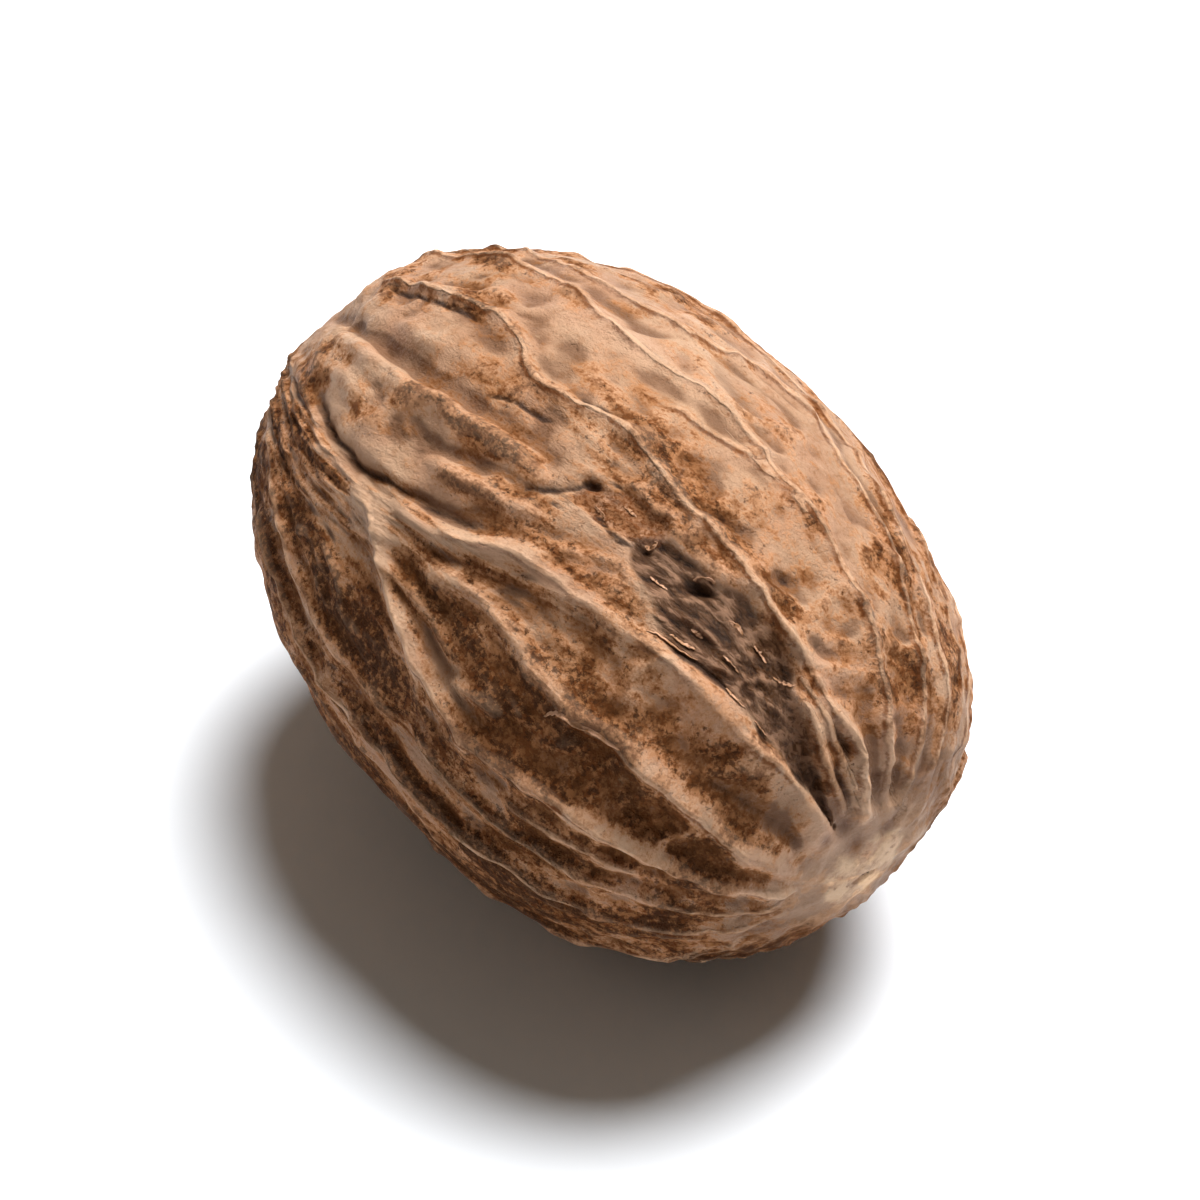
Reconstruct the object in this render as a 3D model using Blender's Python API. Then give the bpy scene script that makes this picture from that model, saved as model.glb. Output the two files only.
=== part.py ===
"""A whole nutmeg: the shelled, dried seed, lying on its side.

The seed is one solid. Its long axis runs along X, with the pale hilum at the +X end and the
small dimple of the chalaza at the -X end. Veins stand up as ribs that leave the hilum, wander
along the seed and close again at the chalaza. One side carries the sunken raphe, a furrow with
a small pit, between two of the ribs. The hilum end dips a little, as the broad egg does when it
lies on a table, and the underside has a small flat spot to rest on.

Units are metres, +Z is up, and the origin is under the middle of the seed, on the table.
Polar is the angle from the hilum, 0 there and pi at the chalaza. Roll is the angle round the
long axis, 0 on the +Y side, a quarter turn on top and a half turn on the -Y side.
"""

import math

import bmesh
import bpy
from mathutils import Matrix, Vector

# Driving dimensions of the smooth egg under the ribs.
HALF_LENGTH = 0.0138
HALF_WIDTH = 0.0101
HALF_HEIGHT = 0.0098
HILUM_FULLNESS = 0.034  # how much wider the hilum half is than the chalaza half
END_BLUNTNESS = 0.84  # under 1 fills the shoulders out
TIP_BLUNTNESS = 0.92  # under 1 flattens the two tips
DIP = math.radians(4)  # how far the hilum end leans down
LEAN = Matrix.Rotation(DIP, 3, "Y")

# The hilum lies a little under the egg's tip: how far, which way, and where the shift ends.
HILUM_SHIFT = math.radians(5)
HILUM_SHIFT_ROLL = math.radians(285)
HILUM_SHIFT_REACH = math.radians(60)

# The mesh has one column of points on each rib's crest, one in each valley and one between.
RIBS = 22
COLUMNS_PER_RIB = 4
RINGS = 44

# Roll, in degrees, of the ribs that set the seed's pattern, at these polar angles.
GUIDE_POLARS = (0, 30, 60, 90, 120, 180)
GUIDE_ROLLS = {
    3: (46, 48, 54, 52, 56, 58),
    4: (62, 65, 70, 72, 75, 78),
    5: (80, 87, 91, 96, 96, 100),
    7: (118, 115, 118, 131, 138, 140),
    8: (146, 141, 137, 139, 144, 146),
    9: (168, 162, 160, 149, 151, 153),
    10: (186, 181, 175, 166, 158, 160),
    11: (202, 193, 187, 178, 172, 170),
}
SWAY = math.radians(4)  # how far a rib wanders where no guide holds it
SWAY_WAVES = ((2.3, 5, 1.0), (5.1, 3, 0.5))  # waves along it, waves round the seed, and height

RIB_HEIGHT = 0.00042
RIB_LOWEST = 0.35  # the share of its height that a rib sinks to where it is lowest
RIB_SWELLS = ((3.1, 1.9, 0.0), (1.3, 0.0, 0.7))  # waves along it, and how they shift rib by rib
RIB_SHARPNESS = 0.26  # the share of a rib's spacing over which its crest falls away
RIB_LIFT = 0.45  # the share of a rib's height that stands over the egg, and isn't cut in
RIBS_START = math.radians(38)  # the ribs grow up to here from the hilum
RIBS_END = math.radians(146)  # and sink from here on towards the chalaza

# Furrows and pits: polar and roll of the middle, reach along and across, and depth.
RAPHE = (math.radians(52), math.radians(104), math.radians(32), math.radians(9), 0.00062)
RAPHE_PIT = (math.radians(80), math.radians(105), math.radians(7), math.radians(6), 0.00040)
FAR_FOLD = (math.radians(118), math.radians(113), math.radians(26), math.radians(5), 0.00055)
SIDE_NOTCH = (math.radians(90), math.radians(90), math.radians(8), math.radians(4), 0.00030)
HOLLOWS = (RAPHE, RAPHE_PIT, FAR_FOLD, SIDE_NOTCH)

HILUM_REACH = math.radians(13)
HILUM_LEVEL = 0.55  # the share of the hilum's reach that stands at its full height
HILUM_HEIGHT = 0.00030
HILUM_RAGGED = ((3, 0.6, 0.14), (7, 0.0, 0.08))  # waves round its edge, their start and height
CHALAZA_REACH = math.radians(11)
CHALAZA_DEPTH = 0.00045

# The flat spot: how much is taken off below, and how far round it the ribs are worn away.
FLAT_DEPTH = 0.00012
WORN_RADIUS = 0.0032
WORN_EDGE = 0.0022
FOOT_STEPS = 720  # places tried along the underside to find where the egg touches the table

SEED_BROWN = (0.38, 0.215, 0.115, 1.0)
SEED_ROUGHNESS = 0.62


def smoothstep(low, high, value):
    """0 below low, 1 above high and a smooth rise between them."""
    share = min(1.0, max(0.0, (value - low) / (high - low)))
    return share * share * (3 - 2 * share)


def signed_power(value, exponent):
    return math.copysign(abs(value) ** exponent, value)


def egg_point(polar, roll):
    """A point of the smooth egg, about its own centre."""
    radius = math.sin(polar) ** END_BLUNTNESS * (1 + HILUM_FULLNESS * math.cos(polar))
    return Vector(
        (
            HALF_LENGTH * signed_power(math.cos(polar), TIP_BLUNTNESS),
            HALF_WIDTH * radius * math.cos(roll),
            HALF_HEIGHT * radius * math.sin(roll),
        )
    )


def off_tip(polar, roll):
    """Where a place on the seed lies on the egg, whose tip is a little over the hilum."""
    away = HILUM_SHIFT * max(0.0, 1 - polar / HILUM_SHIFT_REACH) ** 2
    side = polar * math.cos(roll) + away * math.cos(HILUM_SHIFT_ROLL)
    rise = polar * math.sin(roll) + away * math.sin(HILUM_SHIFT_ROLL)
    return math.hypot(side, rise), math.atan2(rise, side)


def outward(point):
    """The direction straight out of the egg at a point, taken from the ellipsoid through it."""
    return Vector(
        (
            point.x / HALF_LENGTH**2,
            point.y / HALF_WIDTH**2,
            point.z / HALF_HEIGHT**2,
        )
    ).normalized()


def slopes(knots, values):
    """The slope of a curve through values at knots, flat at neither end."""
    steps = [(b - a) / (q - p) for a, b, p, q in zip(values, values[1:], knots, knots[1:])]
    inner = [(first + second) / 2 for first, second in zip(steps, steps[1:])]
    return [steps[0], *inner, steps[-1]]


def curve_at(knots, values, at):
    """A smooth curve through values at knots, read at a place along the knots."""
    slope = slopes(knots, values)
    index = max(i for i, knot in enumerate(knots[:-1]) if i == 0 or knot <= at)
    span = knots[index + 1] - knots[index]
    share = (at - knots[index]) / span
    leave = values[index] + slope[index] * span * share
    arrive = values[index + 1] - slope[index + 1] * span * (1 - share)
    return leave + (arrive - leave) * smoothstep(0, 1, share)


def guided_roll(rib, station):
    """Roll in degrees of any rib number, whole or not, at one of the guides' polar angles."""
    numbers = sorted(GUIDE_ROLLS)
    rolls = [GUIDE_ROLLS[number][station] for number in numbers]
    numbers.append(numbers[0] + RIBS)
    rolls.append(rolls[0] + 360)
    turn = 360 if rib < numbers[0] else 0
    rib += RIBS if turn else 0
    for low, high, first, second in zip(numbers, numbers[1:], rolls, rolls[1:]):
        if rib <= high:
            return first + (second - first) * (rib - low) / (high - low) - turn
    return rolls[-1]


def rib_roll(rib, polar):
    """Roll in radians of a rib at a polar angle, with its wandering."""
    at_stations = [guided_roll(rib, station) for station in range(len(GUIDE_POLARS))]
    roll = math.radians(curve_at(GUIDE_POLARS, at_stations, math.degrees(polar)))
    last_guide = max(GUIDE_ROLLS)
    free = smoothstep(last_guide, last_guide + 2, rib % RIBS)
    free = max(free, 1 - smoothstep(1, min(GUIDE_ROLLS), rib % RIBS))
    turn = math.tau * rib / RIBS
    wave = sum(tall * math.sin(along * polar + round_it * turn) for along, round_it, tall in SWAY_WAVES)
    return roll + SWAY * free * math.sin(polar) * wave


def rib_strength(rib, polar):
    """The share of its height that a rib has at a polar angle: each one swells and sinks."""
    waves = (math.sin(along * polar + turn * rib + twist * rib**2) for along, turn, twist in RIB_SWELLS)
    return RIB_LOWEST + (1 - RIB_LOWEST) * (1 + math.prod(waves)) / 2


def rib_relief(column, polar):
    """Height of the ribbed surface over the egg, for a column of the mesh."""
    nearest = round(column)
    valley = math.exp(-0.5 / RIB_SHARPNESS)
    crest = (math.exp(-abs(column - nearest) / RIB_SHARPNESS) - valley) / (1 - valley)
    ends = smoothstep(0, RIBS_START, polar) * (1 - smoothstep(RIBS_END, math.pi, polar))
    strength = rib_strength(nearest % RIBS, polar)
    return RIB_HEIGHT * ends * (strength * crest - (1 - RIB_LIFT))


def hollow_relief(polar, roll):
    """Depth of the furrows and pits, as a height below the egg."""
    height = 0.0
    for middle_polar, middle_roll, along, across, depth in HOLLOWS:
        turn = math.remainder(roll - middle_roll, math.tau)
        reach = ((polar - middle_polar) / along) ** 2 + (turn / across) ** 2
        height -= depth * math.exp(-reach)
    return height


def tip_relief(polar, roll):
    """The raised hilum at one tip and the dimple of the chalaza at the other."""
    ragged = 1 + sum(tall * math.sin(waves * roll + start) for waves, start, tall in HILUM_RAGGED)
    hilum = 1 - smoothstep(HILUM_LEVEL * HILUM_REACH, HILUM_REACH * ragged, polar)
    dimple = 1 - smoothstep(0, CHALAZA_REACH, math.pi - polar)
    return HILUM_HEIGHT * hilum - CHALAZA_DEPTH * dimple


def seed_point(column, polar, foot):
    """A point of the finished surface, leaning and lifted on to the table."""
    roll = rib_roll(column, polar)
    smooth = egg_point(*off_tip(polar, roll))
    leaning = LEAN @ smooth
    relief = rib_relief(column, polar) + hollow_relief(polar, roll)
    near_foot = (leaning - foot).length
    relief *= smoothstep(WORN_RADIUS, WORN_RADIUS + WORN_EDGE, near_foot)
    relief += tip_relief(polar, roll)
    lift = Vector((0, 0, -foot.z - FLAT_DEPTH))
    return leaning + LEAN @ outward(smooth) * relief + lift


def lowest_point():
    """Where the leaning egg touches the table, about its own centre."""
    angles = (math.pi * step / FOOT_STEPS for step in range(FOOT_STEPS + 1))
    underneath = (egg_point(angle, -math.pi / 2) for angle in angles)
    return min((LEAN @ point for point in underneath), key=lambda point: point.z)


def seed_mesh():
    """A sphere of rings and columns, each of its points moved out to the nutmeg's surface."""
    foot = lowest_point()
    columns = RIBS * COLUMNS_PER_RIB
    bm = bmesh.new()
    bmesh.ops.create_uvsphere(bm, u_segments=columns, v_segments=RINGS, radius=1.0)
    for vert in bm.verts:
        polar = math.acos(max(-1.0, min(1.0, vert.co.z)))
        turn = math.atan2(vert.co.y, vert.co.x) % math.tau
        vert.co = seed_point(RIBS * turn / math.tau, polar, foot)
    cut_flat_spot(bm)
    bmesh.ops.triangulate(bm, faces=bm.faces)
    bmesh.ops.recalc_face_normals(bm, faces=bm.faces)
    mesh = bpy.data.meshes.new("nutmeg")
    bm.to_mesh(mesh)
    bm.free()
    return mesh


def cut_flat_spot(bm):
    """Takes off what lies below the table, and closes the cut with one flat face."""
    cut = bmesh.ops.bisect_plane(
        bm,
        geom=bm.verts[:] + bm.edges[:] + bm.faces[:],
        dist=1e-7,
        plane_co=(0, 0, 0),
        plane_no=(0, 0, 1),
        clear_inner=True,
    )
    rim = [item for item in cut["geom_cut"] if isinstance(item, bmesh.types.BMEdge)]
    bmesh.ops.contextual_create(bm, geom=rim)


def centre_on_origin(mesh):
    """Moves the seed along the table until the origin is under the middle of its box."""
    for axis in (0, 1):
        values = [vert.co[axis] for vert in mesh.vertices]
        shift = Vector((0, 0, 0))
        shift[axis] = -(min(values) + max(values)) / 2
        mesh.transform(Matrix.Translation(shift))


def seed_material():
    material = bpy.data.materials.new("seed_coat")
    material.use_nodes = True
    shader = material.node_tree.nodes["Principled BSDF"]
    shader.inputs["Base Color"].default_value = SEED_BROWN
    shader.inputs["Roughness"].default_value = SEED_ROUGHNESS
    shader.inputs["Metallic"].default_value = 0.0
    return material


def main():
    for obj in list(bpy.data.objects):
        bpy.data.objects.remove(obj)
    mesh = seed_mesh()
    centre_on_origin(mesh)
    mesh.materials.append(seed_material())
    mesh.shade_smooth()
    nutmeg = bpy.data.objects.new("nutmeg", mesh)
    bpy.context.scene.collection.objects.link(nutmeg)


main()
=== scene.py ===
"""The looks of one whole nutmeg: the veined seed coat, its loose skin and the plain stage it lies on.

Lengths in the seed's relief are in millimetres and are turned into metres at the end. A place on
the seed is given by its polar angle, 0 at the hilum and 180 at the chalaza, and its roll round the
long axis, 0 on the +Y side, 90 on top and 180 on the -Y side, both in degrees.
"""

import math
from typing import NamedTuple

import bmesh
import bpy
import numpy as np
from mathutils import Matrix, Vector, noise


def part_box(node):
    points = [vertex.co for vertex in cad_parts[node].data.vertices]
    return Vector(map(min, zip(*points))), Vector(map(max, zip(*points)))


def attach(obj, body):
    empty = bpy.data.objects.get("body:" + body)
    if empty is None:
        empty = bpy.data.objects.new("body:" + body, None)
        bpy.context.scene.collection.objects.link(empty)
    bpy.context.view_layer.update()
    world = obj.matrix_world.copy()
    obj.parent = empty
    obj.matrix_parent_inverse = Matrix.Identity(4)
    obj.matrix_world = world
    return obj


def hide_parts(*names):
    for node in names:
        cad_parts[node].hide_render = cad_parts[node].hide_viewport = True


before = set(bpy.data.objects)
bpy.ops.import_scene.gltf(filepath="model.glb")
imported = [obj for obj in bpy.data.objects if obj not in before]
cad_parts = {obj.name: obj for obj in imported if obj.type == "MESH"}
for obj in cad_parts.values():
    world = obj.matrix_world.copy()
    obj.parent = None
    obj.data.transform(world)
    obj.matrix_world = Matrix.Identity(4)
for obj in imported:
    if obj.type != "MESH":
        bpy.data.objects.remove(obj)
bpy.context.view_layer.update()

bl_info = {
    "name": "Whole nutmeg",
    "version": (1, 0, 0),
    "blender": (4, 5, 0),
    "location": "View3D > Sidebar > Nutmeg",
    "description": "Models a whole nutmeg with its veined coat and loose skin, on a plain stage",
    "category": "Object",
}

MM = 0.001
RANDOM_SEED = 7  # for the grown veins, and for noise vectors, which follow the clock without it
LOW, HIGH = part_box("nutmeg")
SIZE = HIGH - LOW

# The block that the coat starts from: cuts in all directions first, then cuts between them along
# the seed and across it.
BLOCK_FIRST_CUTS = 15
BLOCK_CUTS_ALONG = 9
BLOCK_CUTS_ACROSS = 6
CAP = 37.0  # degrees of polar angle that each end face of the block covers

# The hilum lies a little under the egg's tip: how far, which way, and where the shift ends.
HILUM_SHIFT = 5.0
HILUM_SHIFT_ROLL = 285.0
HILUM_SHIFT_REACH = 60.0

# The columns of faces follow ribs that wander as the veins do. The table has the roll of some of the
# ribs, by number, at the polar angles of the stations.
RIBS = 22
STATIONS = (0, 30, 60, 90, 120, 180)
GUIDES = {
    3: (46, 48, 54, 52, 56, 58),
    4: (62, 65, 70, 72, 75, 78),
    5: (80, 87, 91, 96, 96, 100),
    7: (118, 115, 118, 131, 138, 140),
    8: (146, 141, 137, 139, 144, 146),
    9: (168, 162, 160, 149, 151, 153),
    10: (186, 181, 175, 166, 158, 160),
    11: (202, 193, 187, 178, 172, 170),
}


class Crease(NamedTuple):
    """A ridge or groove along the seed: a broad fold, a thin vein on it, or both."""

    path: tuple  # (polar, roll) of the points that it passes through, from the hilum on
    fold: float = 0.0  # height of the fold
    breadth: float = 0.6  # half its width
    lean: float = 0.0  # -1 to 1: how much steeper it is on the side of the larger roll
    crisp: float = 0.6  # 0 for a round crest, 1 for a sharp one
    vein: float = 0.0  # height of the vein
    # For a groove, pale is how much of its dark colour shows, partly painted shade.
    pale: float = 0.0  # how much the vein's or groove's colour shows
    fade: float = 1.2  # length that it rises and falls over at its ends
    far: float = 1.0  # share of its height that is left at the chalaza end


# Paths of the large ridges and veins. Left is the -Y side and right is the +Y side.
MAIN_RIDGE = (
    (5, 114), (10, 115), (15, 113.5), (20, 112.7), (25, 113), (30, 114), (35, 115.5), (40, 116.8),
    (45, 116.6), (50, 116.8), (55, 117.9), (60, 119), (66, 120.7), (71, 122), (75, 123), (81, 124.8),
    (85, 127.5), (89, 131), (92, 133.5), (95.3, 135.3), (98.8, 137.3), (101.5, 139.3), (105, 139.8),
    (115, 140), (130, 139.5), (142, 140), (156, 143), (172, 146),
)
LEFT_BRANCH = (
    (8, 172), (14, 170), (20, 168), (30, 165), (40, 163), (50, 161.2), (57, 160.2), (64, 160.8),
    (70, 161), (75, 160), (78, 158.3), (81, 156.8), (84.5, 155), (87.7, 152.4), (91, 150),
    (93.5, 147.5), (96, 145), (98, 142.5), (100.5, 140.5), (106, 139.8),
)
LEFT_FOLD = (
    (8, 158), (15, 152), (19, 150), (24, 147), (30, 144), (38, 141.5), (46, 140), (53, 139.2),
    (58, 139.4), (62.5, 139.6), (66.5, 139.2), (72.5, 137.3), (79, 136), (84, 136.5), (87.5, 138.8),
    (90, 140.3), (93, 142.5),
)
LEFT_VEIN = (
    (17, 151), (24, 148), (30, 145), (38, 142.5), (48, 141), (56, 141.8), (61, 142.4), (63.5, 144),
)
FAR_RIM = (
    (7, 82), (11.5, 83), (18, 83.5), (22, 84), (25, 85), (29, 87.3), (32, 89), (38.5, 90), (45, 91),
    (50, 91.7), (55, 91.5), (62, 91.8), (67.5, 92.8), (75, 93.5), (82, 92.5), (88, 93.5), (94, 96.5),
    (99, 98), (104, 95.5), (110, 93), (116, 93.3), (122, 95.3), (131, 97.5), (146, 100),
)
RIGHT_VEIN = (
    (7, 50), (11, 55), (15, 62.5), (20, 65), (25, 68), (30, 66.5), (35, 66.5), (46, 67), (55, 68),
    (64, 69), (73, 71), (80, 70.5), (87, 71.5), (93, 75), (110, 75), (120, 73.5), (140, 78),
    (160, 82),
)
RIGHT_SECOND = (
    (7, 42), (15, 46), (20, 45.5), (25, 46.5), (30, 47), (35, 49), (43, 50), (53, 50), (61, 49.5),
    (73, 50.5), (88, 51), (94, 58), (100, 63), (112, 65), (134, 63), (150, 66), (165, 72),
)
RIGHT_THIRD = (
    (7, 24), (16, 27), (26, 31), (32, 34), (40, 39), (53, 43), (66, 43), (84, 42), (104, 41),
    (130, 44), (150, 46), (166, 52),
)
RIGHT_FOURTH = (
    (7, 12), (16, 14), (26, 18), (36, 22), (50, 27), (66, 28), (84, 26), (106, 25), (126, 29),
    (146, 28), (164, 33),
)
RIGHT_FIFTH = (
    (7, 3), (18, 3), (30, 7), (44, 13), (60, 15), (80, 12), (102, 8), (122, 11), (144, 14), (166, 20),
)
LOW_LEFT = (
    (80, 171.5), (86, 170), (94, 170), (100, 169), (106, 168.5), (113, 165), (123, 160), (140, 157),
)
LOW_VEIN = ((8, 186), (20, 188), (35, 181), (46, 179), (60, 176), (72, 173), (84, 171))
LOWEST_VEIN = (
    (9, 204), (24, 201), (41, 195), (50, 192), (61, 187), (73, 184), (92, 180), (112, 175),
    (130, 170),
)

# All the ridges and veins: those along the paths above and the short ones between them.
RIDGES = (
    Crease(
        MAIN_RIDGE,
        fold=0.50, breadth=0.55, lean=-0.2, crisp=0.2, vein=0.03, pale=0.4, fade=3.0, far=0.25,
    ),
    Crease(
        ((6, 120), (15, 119), (25, 118), (36, 120), (50, 121.5), (62, 123)),
        fold=0.30, breadth=0.8, crisp=0, fade=2.5,
    ),
    Crease(LEFT_BRANCH, fold=0.48, breadth=0.5, crisp=0.15, vein=0.05, pale=0.7, fade=2.0),
    Crease(LEFT_FOLD, fold=0.48, breadth=0.55, crisp=0.2, pale=0.3, fade=2.0),
    Crease(LEFT_VEIN, vein=0.08, pale=0.9),
    Crease(FAR_RIM, fold=0.40, breadth=0.5, crisp=0.3, vein=0.06, pale=0.9, fade=2.0),
    Crease(RIGHT_VEIN, fold=0.20, breadth=0.45, crisp=0.4, vein=0.06, pale=0.9, fade=2.0),
    Crease(RIGHT_SECOND, fold=0.18, breadth=0.45, crisp=0.4, vein=0.06, pale=0.9, fade=2.0),
    Crease(RIGHT_THIRD, fold=0.13, breadth=0.4, crisp=0.4, vein=0.06, pale=0.8, fade=2.0),
    Crease(RIGHT_FOURTH, fold=0.12, breadth=0.4, crisp=0.4, vein=0.06, pale=0.8, fade=2.0),
    Crease(RIGHT_FIFTH, fold=0.11, breadth=0.4, crisp=0.4, vein=0.06, pale=0.8, fade=2.0),
    Crease(LOW_LEFT, fold=0.38, breadth=0.5, crisp=0.15, vein=0.03, pale=0.5, fade=2.5, far=0.4),
    Crease(LOW_VEIN, fold=0.40, breadth=0.45, crisp=0.2, vein=0.05, pale=0.7, fade=2.0),
    Crease(LOWEST_VEIN, fold=0.40, breadth=0.45, crisp=0.2, vein=0.05, pale=0.7, fade=2.5),
    Crease(
        ((8, 91), (15, 91), (22, 91.3), (30, 92), (36, 93), (44, 93.5)),
        fold=0.22, breadth=0.3, vein=0.05, pale=0.7,
    ),
    Crease(
        ((9, 95), (14, 96), (18, 98), (22, 98.5), (27, 97.5), (33, 96.5), (40, 96)),
        fold=0.24, breadth=0.35, vein=0.04, pale=0.5,
    ),
    Crease(((58, 95.5), (64, 96), (72, 97), (80, 97.5)), fold=0.14, breadth=0.4, crisp=0.2),
    Crease(
        ((58, 69), (64, 70.5), (70, 72), (76, 74.5), (83, 79), (94, 84)),
        fold=0.08, breadth=0.4, vein=0.05, pale=0.7,
    ),
    Crease(((56, 123), (62, 124), (70, 125), (78, 129)), vein=0.04, pale=0.4),
    Crease(
        ((66, 150.5), (71, 151.3), (74, 152.3), (78, 153.6), (81, 154.6)),
        fold=0.30, breadth=0.35, crisp=0.1, pale=0.5,
    ),
    Crease(
        (
            (86, 109.5), (91, 111), (95, 111.5), (99, 112.8), (103, 113.8), (107, 115), (111, 116.3),
            (117, 117.2), (122, 118.5), (130, 120.5), (142, 123),
        ),
        fold=0.42, breadth=0.5, lean=-0.3, crisp=0.1, fade=2.5,
    ),
    Crease(
        ((78, 115), (84, 117.5), (90, 120.5), (97, 124), (103, 127)),
        fold=0.36, breadth=0.5, crisp=0.1, fade=2.0,
    ),
    Crease(
        ((104, 127), (112, 127.5), (120, 127), (130, 128), (142, 131)),
        fold=0.34, breadth=0.65, crisp=0.0, fade=2.5,
    ),
    Crease(
        ((101, 102), (107, 103.5), (114, 106), (122, 108), (132, 109)),
        fold=0.26, breadth=0.55, crisp=0.0, fade=2.5,
    ),
    Crease(((60, 112.5), (63, 112), (67, 111.5)), fold=0.20, breadth=0.3, crisp=0.1),
    Crease(((12, 143), (18, 139), (25, 137), (34, 136.5)), fold=0.20, breadth=0.35, crisp=0.2),
    Crease(((64, 131.5), (72, 131), (80, 131.5)), fold=0.16, breadth=0.3, crisp=0.2),
    Crease(((84, 146), (90, 145.5), (96, 141.5)), fold=0.18, breadth=0.3, crisp=0.2),
    Crease(
        ((96, 158), (104, 153), (112, 150), (122, 149), (134, 150)),
        fold=0.20, breadth=0.5, crisp=0.1, fade=2.5, far=0.4,
    ),
    Crease(
        ((30, 172), (42, 171), (54, 169), (66, 168)),
        fold=0.22, breadth=0.4, crisp=0.2, vein=0.04, pale=0.5,
    ),
)

# Furrows, and the cracks and folded edges in the skin, with the height of a fold as their depth.
GROOVES = (
    Crease(
        (
            (85, 108), (88, 107), (92, 107.7), (95, 108.7), (98, 109.3), (101, 110.5), (105, 112),
            (110, 113.8), (115, 114.8), (120, 115.8), (130, 116.5), (142, 117), (158, 118),
        ),
        fold=0.44, breadth=0.5, lean=0.3, crisp=0.15, pale=0.35, fade=2.0,
    ),
    Crease(
        ((90.5, 101.7), (94, 102.4), (96, 103.4), (98.5, 105), (104, 108.5)),
        fold=0.20, breadth=0.13, pale=1.0, fade=0.7,
    ),
    Crease(
        ((84.5, 104.5), (86, 103), (88, 101.5), (90, 100.5), (93, 100), (96.5, 99.5)),
        fold=0.16, breadth=0.20, pale=0.45, fade=0.8,
    ),
    Crease(
        ((81.6, 104.6), (82.6, 107), (83.8, 109.4), (85.2, 111.6), (86.6, 113.6), (88.5, 115.5)),
        fold=0.22, breadth=0.22, pale=0.8, fade=0.3,
    ),
    Crease(
        ((80.5, 112.2), (82, 112.5), (83.5, 113.1), (85, 114)),
        fold=0.10, breadth=0.12, pale=1.0, fade=0.5,
    ),
    Crease(
        ((89, 115.7), (93, 118), (96.5, 119.8), (100.5, 121.7), (104, 123), (108, 121)),
        fold=0.30, breadth=0.35, pale=0.35,
    ),
    Crease(
        (
            (84, 124.5), (89.3, 127.8), (92, 129.4), (94.7, 131), (98.8, 132.6), (103.5, 134.2),
            (107, 136.2), (112.3, 137.2), (117, 137.4), (123, 137), (130, 136.5),
        ),
        fold=0.32, breadth=0.24, pale=0.7,
    ),
    Crease(
        ((84, 89.5), (87, 91.3), (89.5, 92.6), (92, 93.8), (96, 94.5)),
        fold=0.26, breadth=0.24, pale=0.8,
    ),
    Crease(((76.8, 84.7), (78, 86), (79.5, 87.5)), fold=0.16, breadth=0.14, pale=1.0, fade=0.6),
    Crease(((75, 91), (78, 91.6)), fold=0.12, breadth=0.13, pale=0.8, fade=0.6),
    Crease(((81.6, 99), (83.6, 99.4)), fold=0.14, breadth=0.14, pale=0.9, fade=0.5),
    Crease(((68, 95), (74, 95.3), (80, 95.2)), fold=0.12, breadth=0.12, pale=0.8),
    Crease(
        ((61, 84.5), (65, 86.5), (67.2, 88), (69.5, 90), (72, 91)),
        fold=0.30, breadth=0.26, pale=0.8,
    ),
    Crease(((51, 82), (55, 84), (58, 85.5)), fold=0.28, breadth=0.30, pale=0.8),
    Crease(((38, 83), (42, 84.3), (46, 84.6)), fold=0.26, breadth=0.3, pale=0.7),
    Crease(
        ((112, 95.3), (116, 96), (120, 97.3), (124, 98.7), (131, 100.5), (140, 103)),
        fold=0.18, breadth=0.14, pale=1.0,
    ),
    Crease(((18, 111), (22, 110.6), (26, 110.8), (30, 111.3)), fold=0.30, breadth=0.2, pale=1.0),
    Crease(((30, 111.6), (34, 112), (38, 111.7)), fold=0.24, breadth=0.14, pale=1.0),
    Crease(
        (
            (40, 112.3), (44.6, 112.3), (48.3, 112.7), (50.6, 113.6), (53, 114.7), (56, 115.5),
            (58, 115.8),
        ),
        fold=0.34, breadth=0.17, pale=1.0,
    ),
    Crease(
        ((55.5, 96.5), (57, 98.5), (59, 101.5), (61, 104), (63, 105.5)),
        fold=0.32, breadth=0.2, pale=1.0,
    ),
    Crease(
        ((69.5, 106), (72, 108), (74, 108.6), (76.5, 108.2), (78.5, 107.8), (80.5, 107)),
        fold=0.20, breadth=0.13, pale=1.0, fade=0.6,
    ),
    Crease(
        ((77.3, 100.2), (79, 101), (80.5, 102.1), (82.5, 103.8)),
        fold=0.18, breadth=0.14, pale=1.0, fade=0.6,
    ),
    Crease(
        ((12, 131), (16, 131), (21, 130), (27, 131.5), (33, 133), (40, 134)),
        fold=0.24, breadth=0.3, pale=0.5,
    ),
    Crease(
        ((9, 90), (13.5, 92), (18.9, 93.9), (22.3, 93.9), (26, 93.5)),
        fold=0.22, breadth=0.18, pale=0.8,
    ),
    Crease(
        ((19, 88), (22.3, 88.3), (25.3, 89), (28.5, 89.9), (32, 90.6)),
        fold=0.20, breadth=0.18, pale=0.8,
    ),
    Crease(((10, 74), (16, 75.5), (22, 77), (28, 78)), fold=0.20, breadth=0.5, crisp=0.1),
    Crease(((10, 52), (16, 55), (22, 57.5), (28, 58)), fold=0.18, breadth=0.4, crisp=0.1),
)

# Broad swellings and flats: polar angle and roll of the middle, reach along and round, and height.
SWELLINGS = ((34, 8, 20, 34, 0.24), (24, 300, 16, 40, 0.10))

# Small holes: polar angle, roll, radius and depth.
PITS = ((82.3, 105, 0.27, 0.22), (69.2, 105.6, 0.17, 0.12))

# Brown dents by the hilum: polar angle, roll and radius.
DENTS = ((5, 88, 0.30), (8.5, 42, 0.34), (9.5, 97, 0.30), (11, 118, 0.22))
DENT_DEPTH = 0.08

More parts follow.
